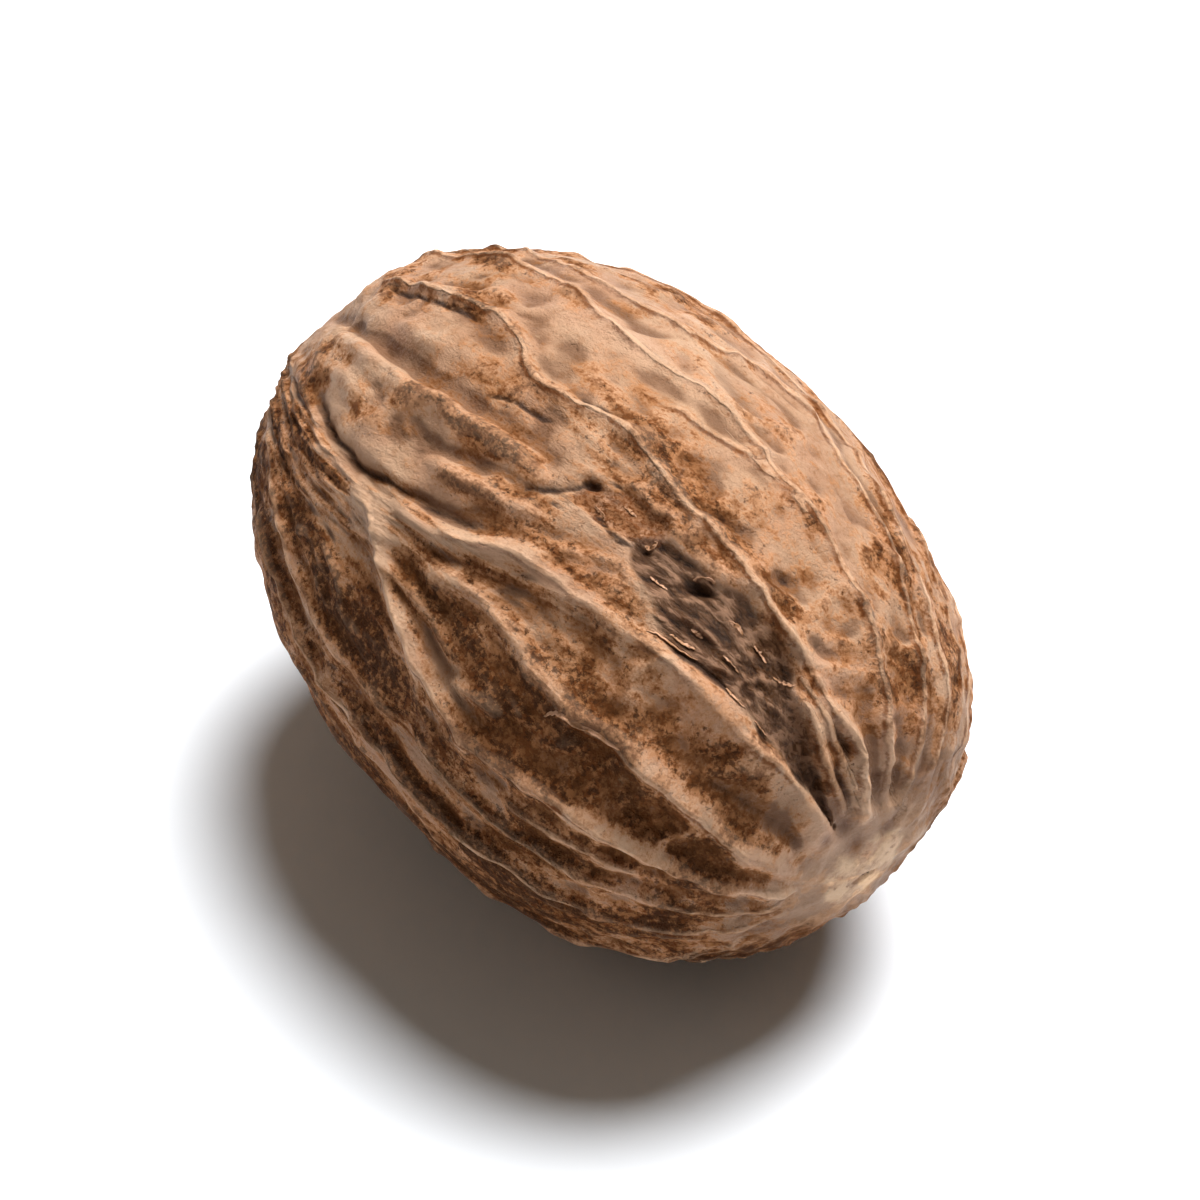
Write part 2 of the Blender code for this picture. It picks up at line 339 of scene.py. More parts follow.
# The scab over the far end of the raphe: its middle, how far it leans, and half its length and width.
SCAB = (76.2, 104.2)
SCAB_LEAN = -0.25
SCAB_SIZE = (1.9, 0.82)
SCAB_DEPTH = 0.10
SCAB_FLAKES = 0.05  # how much its flakes differ in height
SCAB_RIM = 0.07  # height of the skin round it
SCAB_RIM_WIDTH = 0.12  # as a share of its size

# The dark, crumpled floor of the raphe: its middle, and half its width in degrees of roll.
RAPHE = (
    (9, 108), (18, 107), (25, 105.5), (30, 105), (35, 104.3), (40, 103.7), (45, 103), (50, 103.8),
    (54, 105), (58, 106), (62, 105.4), (66, 105.4), (69.5, 105.4), (73, 105.4),
)
RAPHE_WIDTH = (0.8, 3.6, 6.4, 7.6, 9.0, 10.2, 11.4, 12, 12, 10.6, 8.6, 7.2, 5, 0.5)
RAPHE_DEPTH = 0.36
RAPHE_CRUMPLE = 0.19
RAPHE_LOWEST = 0.85  # where the crumpling's noise is cut off, so that no hollow is a round hole

# Height of the coat's own unevenness, from the broadest to the finest.
LUMPS = 0.14
SWELL = 0.20
RIPPLE = 0.14
SMALL_VEINS = 0.13
WRINKLES = 0.08
DIMPLES = 0.05
FINE_VEINS = 0.05
PLEATS = 0.05

# Rounds of averaging over neighbouring points: the many that tell a ridge from the swellings that
# it stands on, and the few that find the narrow hollows.
BROAD_ROUNDS = 300
NARROW_ROUNDS = 24

# How high the patterns in the coat's material stand.
MOTTLE_BUMP = 0.38
CRUMPLE_BUMP = 0.55
GRIT_BUMP = 0.09
VEIN_BUMP = 0.07
SCURF_BUMP = 0.04
SKIN_BUMP = 0.05

# Loose flakes and fibres of skin: the line that each is held along, its width, and how far it curls.
# Its free edge is on the side of the larger roll, or of the smaller where the width is negative.
FLAKES = (
    (((63.2, 145.2), (62.4, 143.2), (60.5, 141.6), (57, 140.9), (53.5, 140.2), (50, 139.9)), 0.17, 80),
    (((59.6, 116.8), (58.3, 115.4), (56, 114.4), (53.5, 113.4), (51, 112.2)), 0.14, 80),
    (((57, 113.2), (54.5, 112.0), (52.5, 110.9)), 0.14, 70),
    (((44.6, 111.4), (42.4, 111.2), (40.0, 111.0)), 0.13, 60),
    (((37.4, 110.9), (35.6, 110.6), (33.4, 110.6)), 0.12, 60),
    (((41.2, 99.0), (39.8, 97.4), (38.4, 95.8)), 0.16, 60),
    (((70.2, 104.9), (69.7, 103.9), (69.9, 102.8)), 0.18, 50),
    (((76.6, 102.7), (75.4, 102.2), (74.4, 102.4)), 0.12, 50),
    (((79.4, 107.4), (78.2, 107.5), (76.8, 107.7)), -0.12, 50),
    (((66.0, 108.2), (64.4, 107.4), (62.8, 107.2)), 0.12, 60),
    (((61.6, 101.6), (60.4, 99.8), (59.0, 98.4)), -0.13, 60),
    (((55.6, 108.8), (54.4, 108.0), (53.2, 107.9)), 0.12, 60),
    (((49.0, 106.8), (47.2, 106.0), (45.4, 106.2)), 0.12, 60),
    (((53.0, 101.4), (51.4, 100.4), (50.0, 100.2)), -0.13, 60),
    (((47.6, 99.2), (46.0, 98.4), (44.0, 98.6)), 0.11, 70),
)
FLAKE_THICKNESS = 0.022
FLAKE_SECTIONS = 18
FLAKE_COLUMNS = 5
FLAKE_TIP = 0.06  # share of the half sine that is left off at each of its ends
FLAKE_RAGGED = 0.35  # how much its width varies
FLAKE_RISE = 1.2  # how much higher it curls than a round bend would
FLAKE_SUNK = 0.01  # how far its held edge is in the coat
NEAREST_POINTS = 6  # of the coat, that a place on it is worked out from

# Creases that begin nearer to the hilum than this polar angle rise at once from its rim.
HILUM_EDGE = 12.5

# How far from a vein its colour can reach, and how far creases stray from their paths.
VEIN_ZONE = 0.45
STRAY = 0.11

# Points that a path is read at, and the length given to the seed in the pattern of its grain.
PATH_POINTS = 240
GRAIN_LENGTH = 40

# The hilum's cork, seen straight on: how far its middle is to the +Y side of the place where the
# veins meet, and above it.
CORK_MIDDLE = (0.50, -0.45)
CORK_HEIGHT = 0.10

# The slit in the cork: its middle in the same way, half its length, half its width as a hollow and
# as a dark line of painted shade, and its depth.
SLIT_MIDDLE = (0.52, -0.72)
SLIT_LENGTH = 0.50
SLIT_WIDTH = 0.15
SLIT_SHADE = 0.12
SLIT_DEPTH = 0.22

# The dimple at the chalaza: its depth, and its reach in degrees of polar angle.
CHALAZA_DEPTH = 0.35
CHALAZA_REACH = 12

# Where the lights stand, seen from the camera: to the right of the seed, over it and in front of it.
KEY_SIDE = (0.27, 0.88, 0.40)
FILL_SIDE = (-0.9, 0.35, 0.6)


def smoothstep(low, high, value):
    """0 below low, 1 above high and a smooth rise between them."""
    share = np.clip((value - low) / (high - low), 0, 1)
    return share * share * (3 - 2 * share)


def curve_at(knots, values, at):
    """A smooth curve through values at knots, read at places along the knots."""
    knots = np.asarray(knots, float)
    values = np.asarray(values, float)
    steps = np.diff(values) / np.diff(knots)
    slope = np.concatenate((steps[:1], (steps[:-1] + steps[1:]) / 2, steps[-1:]))
    index = np.clip(np.searchsorted(knots, at, side="right") - 1, 0, len(knots) - 2)
    span = knots[index + 1] - knots[index]
    share = np.clip((at - knots[index]) / span, 0, 1)
    leave = values[index] + slope[index] * span * share
    arrive = values[index + 1] - slope[index + 1] * span * (1 - share)
    return leave + (arrive - leave) * smoothstep(0, 1, share)


def wrap(degrees):
    """The same turn, from -180 to 180."""
    return (degrees + 180) % 360 - 180


def column_roll(column, polar):
    """Roll of a column of faces, counted in ribs, at a polar angle."""
    numbers = [*GUIDES, min(GUIDES) + RIBS]
    turned = np.where(column < numbers[0], column + RIBS, column)
    rolls = np.array([curve_at(STATIONS, GUIDES[rib], polar) for rib in GUIDES])
    rolls = np.vstack((rolls, rolls[:1] + 360))
    index = np.clip(np.searchsorted(numbers, turned, side="right") - 1, 0, len(numbers) - 2)
    numbers = np.array(numbers, float)
    share = (turned - numbers[index]) / (numbers[index + 1] - numbers[index])
    each = np.arange(len(polar))
    low = rolls[index, each]
    return wrap(low + (rolls[index + 1, each] - low) * share)


class Seed:
    """The smooth egg under the relief, for a set of points given by polar angle and column."""

    def __init__(self, shape, polar, column):
        self.shape = shape
        self.polar = polar
        self.column = column
        self.roll = column_roll(column, polar)
        self.half = np.array((SIZE.x, SIZE.y, SIZE.z)) / MM / 2
        angle = np.radians(polar)
        self.radius = np.sin(angle) ** shape.end_bluntness * self.half[1]
        self.stride = np.hypot(self.half[0] * np.sin(angle), self.half[1] * np.cos(angle))
        self.points = self.smooth_points()
        out = self.points / self.half**2
        self.normals = out / np.linalg.norm(out, axis=1, keepdims=True)
        self.grain = self.straight_points()
        self.stray = STRAY * self.sample(self.points * 0.9 + 61.0, noise.noise)

    def shifted(self):
        """Polar angle and roll on the egg, with the hilum moved off its tip, in radians."""
        away = HILUM_SHIFT * np.clip(1 - self.polar / HILUM_SHIFT_REACH, 0, 1) ** 2
        turn = np.radians(self.roll)
        side = self.polar * np.cos(turn) + away * math.cos(math.radians(HILUM_SHIFT_ROLL))
        rise = self.polar * np.sin(turn) + away * math.sin(math.radians(HILUM_SHIFT_ROLL))
        return np.radians(np.clip(np.hypot(side, rise), 0, 180)), np.arctan2(rise, side)

    def smooth_points(self):
        """Points of the egg, about its centre, in millimetres."""
        polar, turn = self.shifted()
        along = np.cos(polar)
        ring = np.sin(polar) ** self.shape.end_bluntness * (1 + self.shape.hilum_fullness * along)
        along = np.sign(along) * np.abs(along) ** self.shape.tip_bluntness
        return np.column_stack((along, ring * np.cos(turn), ring * np.sin(turn))) * self.half

    def straight_points(self):
        """The same points with the ribs pulled straight, so that a pattern can follow them."""
        turn = 2 * math.pi * self.column / RIBS
        along = self.polar / 180 * GRAIN_LENGTH
        return np.column_stack((along, self.radius * np.cos(turn), self.radius * np.sin(turn)))

    def face_points(self):
        """The same points seen straight on from the hilum end, and their polar angle."""
        turn = np.radians(self.roll)
        return np.column_stack((self.radius * np.cos(turn), self.radius * np.sin(turn), self.polar))

    def across(self, path):
        """How far each point is from a path, its share of the way along it, and the path's length.

        The distance is positive on the side of the larger roll.
        """
        polars, rolls = np.array(path, float).T
        dense = np.linspace(polars[0], polars[-1], PATH_POINTS)
        curve = curve_at(polars, rolls, dense)
        at = np.interp(self.polar, dense, curve)
        slope = np.interp(self.polar, dense, np.gradient(curve, dense))
        gap = np.radians(wrap(self.roll - at)) * self.radius
        steep = self.radius * slope / self.stride
        share = (self.polar - polars[0]) / (polars[-1] - polars[0])
        gap = gap / np.sqrt(1 + steep**2) + self.stray
        return gap, share, np.radians(polars[-1] - polars[0]) * self.stride

    def sample(self, points, function):
        """A noise function's value at each of some points."""
        return np.array([function(Vector(point)) for point in points])

    def apart(self, polar, roll):
        """How far each point is from a place, along the seed and round it."""
        along = np.radians(self.polar - polar) * self.stride
        return along, np.radians(wrap(self.roll - roll)) * self.radius

    def pattern(self, along, across, offset, function):
        """A noise function that follows the ribs, with its frequencies along and across them."""
        return self.sample(self.grain * np.array((along, across, across)) + offset, function)


def ends(path, share, length, reach=1.4):
    """1 along a crease and a smooth fall to 0 over its last stretches, a short one by the hilum."""
    edge = np.clip(reach / np.maximum(length, 0.1), 0.02, 0.5)
    start = edge if path[0][0] > HILUM_EDGE else np.minimum(edge, 0.7 / np.maximum(length, 0.1))
    return smoothstep(0, start, share) * smoothstep(0, edge, 1 - share)


def fold_height(seed, crease):
    """Height of a crease's fold, or depth of a groove's."""
    gap, share, length = seed.across(crease.path)
    width = crease.breadth * (1 - crease.lean * np.sign(gap))
    round_crest = 1 / (1 + (gap / width) ** 2) ** 1.5
    sharp_crest = np.exp(-1.15 * (np.hypot(gap / width, 0.22) - 0.22))
    profile = round_crest + (sharp_crest - round_crest) * crease.crisp
    taper = 1 - (1 - crease.far) * smoothstep(0.4, 0.85, share)
    return crease.fold * ends(crease.path, share, length, crease.fade) * taper * profile


def vein_height(seed, crease, width):
    """Share of a crease's vein at each point."""
    gap, share, length = seed.across(crease.path)
    return ends(crease.path, share, length) * np.exp(-((gap / width) ** 2))


def nearest_vein(seed, creases):
    """Signed distance to the closest vein, and how much that vein shows at each point."""
    closest = np.full(len(seed.polar), 9.0)
    gaps = np.full(len(seed.polar), 1.0)
    shows = np.zeros(len(seed.polar))
    for crease in creases:
        gap, share, length = seed.across(crease.path)
        strength = ends(crease.path, share, length) * crease.pale
        away = np.abs(gap) + 1 - strength
        nearer = away < closest
        closest = np.where(nearer, away, closest)
        gaps = np.where(nearer, gap, gaps)
        shows = np.where(nearer, strength * np.exp(-((gap / VEIN_ZONE) ** 2)), shows)
    return np.clip(gaps, -1, 1), shows


def pooled(heights, power=3.0):
    """Several heights as one, a little over the tallest where they meet."""
    return sum(height**power for height in heights) ** (1 / power)


def grown_ridges(rng):
    """Veins for the sides where none is listed, each one leaving the hilum and wandering."""
    grown = []
    for start in range(216, 360, 10):
        roll = start + rng.uniform(-3, 3)
        polar = rng.uniform(11, 18)
        path = [(polar, roll)]
        drift = rng.uniform(-0.12, 0.12)
        last = rng.uniform(138, 172)
        while polar < last:
            step = rng.uniform(7, 12)
            polar += step
            drift = 0.6 * drift + rng.uniform(-0.22, 0.22)
            roll += drift * step
            path.append((polar, roll))
        grown.append(
            Crease(
                tuple(path),
                fold=rng.uniform(0.15, 0.36),
                breadth=rng.uniform(0.4, 0.65),
                lean=rng.uniform(-0.3, 0.3),
                crisp=rng.uniform(0.1, 0.5),
                vein=rng.uniform(0.03, 0.08),
                pale=rng.uniform(0.5, 1.0),
                fade=5.0,
            )
        )
        if rng.random() < 0.7:
            leaves = rng.integers(2, len(path) - 2)
            side = rng.choice((-1, 1))
            polar, roll = path[leaves]
            fork = [(polar, roll)]
            for step in range(1, 5):
                aside = 1.6 * step + rng.uniform(-0.5, 0.5)
                fork.append((polar + 8 * step, roll + side * aside))
            grown.append(Crease(tuple(fork), fold=0.12, breadth=0.4, vein=0.05, pale=0.6, fade=2.5))
    return grown


class NutmegShape(bpy.types.PropertyGroup):
    """Sizes of the seed coat."""

    hilum_fullness: bpy.props.FloatProperty(
        name="Hilum fullness",
        description="How much wider the hilum half is than the other",
        default=0.034,
        min=0,
        max=0.2,
        subtype="FACTOR",
    )
    end_bluntness: bpy.props.FloatProperty(
        name="End bluntness",
        description="Under 1 fills the shoulders out",
        default=0.84,
        min=0.6,
        max=1.2,
    )
    tip_bluntness: bpy.props.FloatProperty(
        name="Tip bluntness",
        description="Under 1 flattens the two tips",
        default=0.92,
        min=0.6,
        max=1.2,
    )
    dip: bpy.props.FloatProperty(
        name="Dip",
        description="How far the hilum end leans down",
        default=math.radians(4),
        subtype="ANGLE",
    )
    flat_depth: bpy.props.FloatProperty(
        name="Flat depth",
        description="How much the resting spot takes off",
        default=0.12 * MM,
        unit="LENGTH",
        precision=5,
    )
    vein_width: bpy.props.FloatProperty(
        name="Vein width",
        description="Half the width of a vein",
        default=0.16 * MM,
        unit="LENGTH",
        precision=5,
    )
    hilum_radius: bpy.props.FloatProperty(
        name="Hilum radius",
        description="Radius of the corky scar at the hilum",
        default=1.85 * MM,
        unit="LENGTH",
        precision=5,
    )


class NutmegColours(bpy.types.PropertyGroup):
    """Colours of the seed coat."""

    tan: bpy.props.FloatVectorProperty(
        name="Tan",
        description="Colour of the clean coat",
        subtype="COLOR",
        default=(0.52, 0.314, 0.192),
    )
    rosy: bpy.props.FloatVectorProperty(
        name="Rosy tan",
        description="Colour of the pinker patches",
        subtype="COLOR",
        default=(0.50, 0.270, 0.158),
    )
    valley: bpy.props.FloatVectorProperty(
        name="Valley",
        description="Colour of the smooth valleys",
        subtype="COLOR",
        default=(0.305, 0.150, 0.070),
    )
    rust: bpy.props.FloatVectorProperty(
        name="Rust",
        description="Colour of the coat under thin scurf",
        subtype="COLOR",
        default=(0.325, 0.128, 0.042),
    )
    scurf: bpy.props.FloatVectorProperty(
        name="Scurf",
        description="Colour of the rust brown speckle",
        subtype="COLOR",
        default=(0.112, 0.031, 0.006),
    )
    dark: bpy.props.FloatVectorProperty(
        name="Dark",
        description="Colour of the darkest specks and cuts",
        subtype="COLOR",
        default=(0.028, 0.010, 0.004),
    )
    # Painted highlight: the paler colour laid on the crests that stand out of their surroundings.
    crest: bpy.props.FloatVectorProperty(
        name="Crest",
        description="Colour of the rubbed crests",
        subtype="COLOR",
        default=(0.53, 0.350, 0.232),
    )
    # Partly dirt and partly painted shade: laid in the narrow hollows and in the low ground round the
    # hilum.
    crevice_dirt_and_shade: bpy.props.FloatVectorProperty(
        name="Crevice",
        description="Colour of the narrow hollows",
        subtype="COLOR",
        default=(0.100, 0.034, 0.009),
    )
    vein: bpy.props.FloatVectorProperty(
        name="Vein",
        description="Colour of the veins",
        subtype="COLOR",
        default=(0.56, 0.345, 0.212),
    )
    hilum: bpy.props.FloatVectorProperty(
        name="Hilum",
        description="Colour of the corky scar",
        subtype="COLOR",
        default=(0.80, 0.53, 0.32),
    )
    scab: bpy.props.FloatVectorProperty(
        name="Scab",
        description="Colour of the scab at the raphe's end",
        subtype="COLOR",
        default=(0.21, 0.088, 0.037),
    )
    raphe: bpy.props.FloatVectorProperty(
        name="Raphe",
        description="Colour of the crumpled floor of the raphe",
        subtype="COLOR",
        default=(0.165, 0.074, 0.034),
    )


class NutmegStudio(bpy.types.PropertyGroup):
    """The stage: camera, lights, sky and floor."""

    azimuth: bpy.props.FloatProperty(
        name="Azimuth",
        description="Turn of the camera round the seed",
        default=math.radians(54),
        subtype="ANGLE",
    )
    elevation: bpy.props.FloatProperty(
        name="Elevation",
        description="Height of the camera over the floor",
        default=math.radians(45),
        subtype="ANGLE",
    )
    distance: bpy.props.FloatProperty(
        name="Distance", description="From the camera to the seed", default=0.37, unit="LENGTH"
    )
    view_width: bpy.props.FloatProperty(
        name="View width", description="Width of the view at the seed", default=0.040, unit="LENGTH"
    )
    key_distance: bpy.props.FloatProperty(
        name="Key distance", description="From the main light to the seed", default=1.5, unit="LENGTH"
    )
    key_size: bpy.props.FloatProperty(
        name="Key size", description="Width of the main light", default=1.03, unit="LENGTH"
    )
    key_power: bpy.props.FloatProperty(
        name="Key power", description="Power of the main light", default=60, unit="POWER"
    )
    key_colour: bpy.props.FloatVectorProperty(
        name="Key colour",
        description="Colour of the main light",
        subtype="COLOR",
        default=(0.96, 0.98, 0.995),
    )
    fill_distance: bpy.props.FloatProperty(
        name="Fill distance", description="From the side light to the seed", default=0.7, unit="LENGTH"
    )
    fill_size: bpy.props.FloatProperty(
        name="Fill size", description="Width of the side light", default=0.4, unit="LENGTH"
    )
    fill_power: bpy.props.FloatProperty(
        name="Fill power", description="Power of the side light", default=0.10, unit="POWER"
    )
    fill_colour: bpy.props.FloatVectorProperty(
        name="Fill colour",
        description="Colour of the side light",
        subtype="COLOR",
        default=(1.0, 0.95, 0.88),
    )
    sky_strength: bpy.props.FloatProperty(
        name="Sky strength", description="Brightness of the sky all round", default=0.15, min=0
    )
    sky_colour: bpy.props.FloatVectorProperty(
        name="Sky colour", description="Colour of the sky", subtype="COLOR", default=(1, 0.87, 0.72)
    )
    floor_size: bpy.props.FloatProperty(
        name="Floor size", description="Width of the floor", default=4, unit="LENGTH"
    )
    floor_colour: bpy.props.FloatVectorProperty(
        name="Floor colour",
        description="Paler of the floor's two tones",
        subtype="COLOR",
        default=(0.85, 0.865, 0.89),
    )
    floor_shade: bpy.props.FloatVectorProperty(
        name="Floor shade",
        description="Darker of the floor's two tones",
        subtype="COLOR",
        default=(0.83, 0.845, 0.87),
    )


def only(obj):
    """Makes one object the active and only selected one."""
    bpy.ops.object.select_all(action="DESELECT")
    obj.select_set(True)
    bpy.context.view_layer.objects.active = obj


def subdivide_along(mesh, axes, cuts):
    """In edit mode, cuts the edges that run along some of the axes."""
    bm = bmesh.from_edit_mesh(mesh)
    for edge in bm.edges:
        run = edge.verts[1].co - edge.verts[0].co
        longest = max(range(3), key=lambda axis: abs(run[axis]))
        edge.select_set(longest in axes)
    bmesh.update_edit_mesh(mesh)
    bpy.ops.mesh.subdivide(number_cuts=cuts)


def fine_block():
    """A block as large as the seed, cut into small faces, with its object at the origin."""
    if bpy.context.selected_objects:
        bpy.ops.object.select_all(action="DESELECT")
    bpy.ops.mesh.primitive_cube_add(size=1, location=(LOW + HIGH) / 2, scale=SIZE)
    block = bpy.context.object
    bpy.ops.object.transform_apply(location=True, rotation=True, scale=True)
    bpy.ops.object.mode_set(mode="EDIT")
    bpy.ops.mesh.select_mode(type="EDGE")
    bpy.ops.mesh.select_all(action="SELECT")
    bpy.ops.mesh.subdivide(number_cuts=BLOCK_FIRST_CUTS)
    for axes, cuts in (((0,), BLOCK_CUTS_ALONG), ((1, 2), BLOCK_CUTS_ACROSS)):
        bpy.ops.mesh.select_all(action="DESELECT")
        subdivide_along(block.data, axes, cuts)
    bpy.ops.object.mode_set(mode="OBJECT")
    return block


def block_angles(mesh):
    """Polar angle and column, counted in ribs, of each corner of the block."""
    count = len(mesh.vertices)
    corners = np.zeros(count * 3)
    mesh.vertices.foreach_get("co", corners)
    middle = np.array((LOW + HIGH) / 2)
    x, y, z = ((corners.reshape(count, 3) - middle) / (np.array(SIZE) / 2)).T
    across = np.maximum(np.abs(y), np.abs(z))
    on_side = CAP + (1 - x) / 2 * (180 - 2 * CAP)
    polar = np.where(across > 1 - 1e-5, on_side, np.where(x > 0, across * CAP, 180 - across * CAP))
    safe = np.maximum(across, 1e-9)
    y = y / safe
    z = z / safe
    flank = np.abs(y) >= np.abs(z)
    turn = np.where(
        flank,
        np.where(y > 0, 45 * z, 180 - 45 * z),
        np.where(z > 0, 90 - 45 * y, 270 + 45 * y),
    )
    return polar, turn % 360 / 360 * RIBS


def raphe_share(seed):
    """1 in the middle of the raphe's floor and 0 outside it."""
    polars = [polar for polar, _ in RAPHE]
    gap, share, _ = seed.across(RAPHE)
    width = curve_at(polars, RAPHE_WIDTH, np.clip(seed.polar, polars[0], polars[-1]))
    width = np.radians(width) * seed.radius
    width *= 1 + 0.35 * seed.pattern(0.5, 1.1, 5.0, noise.noise) * (gap < 0)
    inside = smoothstep(0, 0.06, share) * smoothstep(0, 0.06, 1 - share)
    return inside * np.clip(1 - np.abs(gap) / np.maximum(width, 0.05), 0, 1)


def swellings(seed):
    """Height of the broad swellings over the egg."""
    height = np.zeros(len(seed.polar))
    for polar, roll, along, round_it, tall in SWELLINGS:
        reach = ((seed.polar - polar) / along) ** 2 + (wrap(seed.roll - roll) / round_it) ** 2
        height += tall * np.exp(-reach)
    return height


def pits(seed):
    """Depth of the small holes, and how dark they are painted, partly as shade."""
    depth = np.zeros(len(seed.polar))
    dark = np.zeros(len(seed.polar))
    ragged = 1 + 0.9 * seed.sample(seed.points * 2.2, noise.noise)
    for polar, roll, radius, deep in PITS:
        along, across = seed.apart(polar, roll)
        across -= 0.5 * along
        share = np.exp(-((np.hypot(along, 1.3 * across) * ragged / radius) ** 3))
        depth = np.maximum(depth, deep * share)
        dark = np.maximum(dark, share)
    return depth, dark


def scab_share(seed):
    """From 1 in the middle of the scab down to 0 at its edge and below outside it."""
    along, across = seed.apart(*SCAB)
    across += SCAB_LEAN * along
    ragged = 0.30 * seed.sample(seed.points * 1.6, noise.noise)
    return 1 + ragged - np.hypot(along / SCAB_SIZE[0], across / SCAB_SIZE[1])


def brown_dents(seed):
    """1 in the middle of each brown dent by the hilum and 0 away from them."""
    shade = np.zeros(len(seed.polar))
    for polar, roll, radius in DENTS:
        gap = np.hypot(*seed.apart(polar, roll))
        shade = np.maximum(shade, np.exp(-((gap / radius) ** 2)))
    return shade


def hilum_slit(seed):
    """1 in the slit at the middle of the hilum and 0 away from it."""
    side, rise, polar = seed.face_points().T
    along = np.where(polar < 90, (side - SLIT_MIDDLE[0]) / SLIT_LENGTH, 99)
    off = (rise - SLIT_MIDDLE[1]) / (SLIT_WIDTH * (1.25 - np.clip(np.abs(along), 0, 1)))
    return np.exp(-(np.clip(along, -9, 9) ** 4) - off**2)


def cork_gap(seed, radius):
    """Distance from the middle of the hilum's cork, as a share of the cork's radius."""
    side, rise, polar = seed.face_points().T
    return np.where(polar < 90, np.hypot(side - CORK_MIDDLE[0], rise - CORK_MIDDLE[1]) / radius, 99)


def vein_net(seed, along, across, offset, width):
    """Fine branching lines that follow the ribs: 1 on a line and 0 away from it."""
    warp = seed.sample(seed.points * 0.5 + offset, noise.noise_vector) * 0.5
    warped = seed.grain * np.array((along, across, across)) + warp + offset
    return 1 - smoothstep(0, width, np.abs(seed.sample(warped, noise.noise)))


def ridged(roughness, finer, rounds):
    """A noise function with thin crests and round hollows."""
    return lambda point: noise.ridged_multi_fractal(point, roughness, finer, rounds, 1.0, 2.0)


def hollows(edges, height, rounds):
    """How far each point lies below the mean of its surroundings."""
    first, second = edges.T
    count = len(height)
    shared = np.bincount(first, minlength=count) + np.bincount(second, minlength=count)
    level = height
    for _ in range(rounds):
        level = np.bincount(first, level[second], count) + np.bincount(second, level[first], count)
        level = level / shared
    return level - height


class Texture(NamedTuple):
    """The coat's own unevenness at each point, before it is given its heights."""

    lumps: np.ndarray
    swell: np.ndarray
    ripple: np.ndarray
    wrinkle: np.ndarray
    dimples: np.ndarray
    small_veins: np.ndarray
    fine_veins: np.ndarray
    pleats: np.ndarray


def coat_texture(seed):
    """Unevenness from broad to fine, most of it drawn out along the ribs."""
    face = seed.face_points() * np.array((2.4, 2.4, 0)) / seed.radius[:, None].clip(0.4)
    return Texture(
        lumps=seed.sample(seed.points * 0.16 + 7.0, noise.noise),
        swell=seed.pattern(0.16, 0.38, 3.0, noise.noise),
        ripple=seed.pattern(0.35, 0.8, 17.0, noise.noise),
        wrinkle=seed.pattern(0.32, 1.0, 0.0, ridged(0.9, 2.1, 4)) - 1.0,
        dimples=seed.pattern(0.9, 1.9, 11.0, noise.noise),
        small_veins=vein_net(seed, 0.10, 0.42, 41.0, 0.30),
        fine_veins=vein_net(seed, 0.22, 0.85, 53.0, 0.22),
        pleats=seed.sample(face, noise.noise),
    )


class Creases(NamedTuple):
    """What all the ridges, veins and grooves make together at each point."""

    folds: np.ndarray  # height of the folds
    veins: np.ndarray  # height of the veins on them
    vein_gap: np.ndarray  # signed distance to the nearest vein
    vein_shows: np.ndarray  # how much that vein's colour shows
    cuts: np.ndarray  # depth of the grooves
    # cut_shade is the grooves' darkness, partly painted shade.
    cut_shade: np.ndarray  # how dark the grooves are


def coat_creases(seed, vein_width):
    """The creases that are listed, and the grown ones between them."""
    ridges = [*RIDGES, *grown_ridges(np.random.default_rng(RANDOM_SEED))]
    veins = [vein_height(seed, crease, vein_width) * crease.vein for crease in ridges]
    uneven = np.clip(0.85 + 1.1 * seed.sample(seed.points * 0.35 + 13.0, noise.noise), 0.25, 1.3)
    vein_gap, shows = nearest_vein(seed, [crease for crease in ridges if crease.pale])
    cuts = [fold_height(seed, groove) for groove in GROOVES]
    shades = [cut / groove.fold * groove.pale for cut, groove in zip(cuts, GROOVES)]
    return Creases(
        folds=pooled([fold_height(seed, crease) for crease in ridges if crease.fold]),
        veins=uneven * np.max(veins, axis=0),
        vein_gap=vein_gap,
        vein_shows=shows * uneven,
        cuts=pooled(cuts),
        cut_shade=np.max(shades, axis=0),
    )


class Zones:
    """Shares, from 0 to 1, that tell which part of the seed each point is in."""

    def __init__(self, seed, hilum_radius):
        roll = seed.roll
        # The hilum: gap is the distance from the middle of its cork, in radii of the cork.
        ragged = 1 + 0.06 * np.sin(np.radians(3 * roll + 40)) + 0.05 * np.sin(np.radians(7 * roll))
        self.gap = cork_gap(seed, hilum_radius)
        self.cork = 1 - smoothstep(0.65, 1.15, self.gap / ragged)
        self.off_cork = smoothstep(0.6, 1.3, self.gap)
        self.near_hilum = 1 - smoothstep(1.0, 4.0, self.gap)

        # The chalaza, and where the creases and the veins run, which is short of both ends.
        to_tip = 180 - seed.polar
        self.chalaza = 1 - smoothstep(0, CHALAZA_REACH, to_tip)
        self.creased = self.off_cork * smoothstep(2, 34, to_tip)
        self.veined = self.off_cork * smoothstep(4, 26, to_tip)

        # Round the seed.
        self.turn = roll % 360
        self.low_half = smoothstep(-0.45, 0.1, -np.sin(np.radians(roll - 12)))
        self.far_side = np.exp(-((wrap(roll - 35) / 45) ** 2))
        self.underside = smoothstep(165, 200, self.turn) * smoothstep(360, 318, self.turn)


def folds_left(zones):
    """Share of their height that the folds keep as they sink towards the hilum."""
    sunk = 0.82 * zones.low_half * (1 - smoothstep(2.0, 4.9, zones.gap))
    rim = 0.3 + 0.7 * smoothstep(0.9, 2.6, zones.gap)
    collar = np.exp(-((zones.gap - 2.4) ** 2)) * smoothstep(110, 90, zones.turn)
    return (1 - sunk) * rim * (1 + 0.9 * (1 - zones.low_half) * collar)


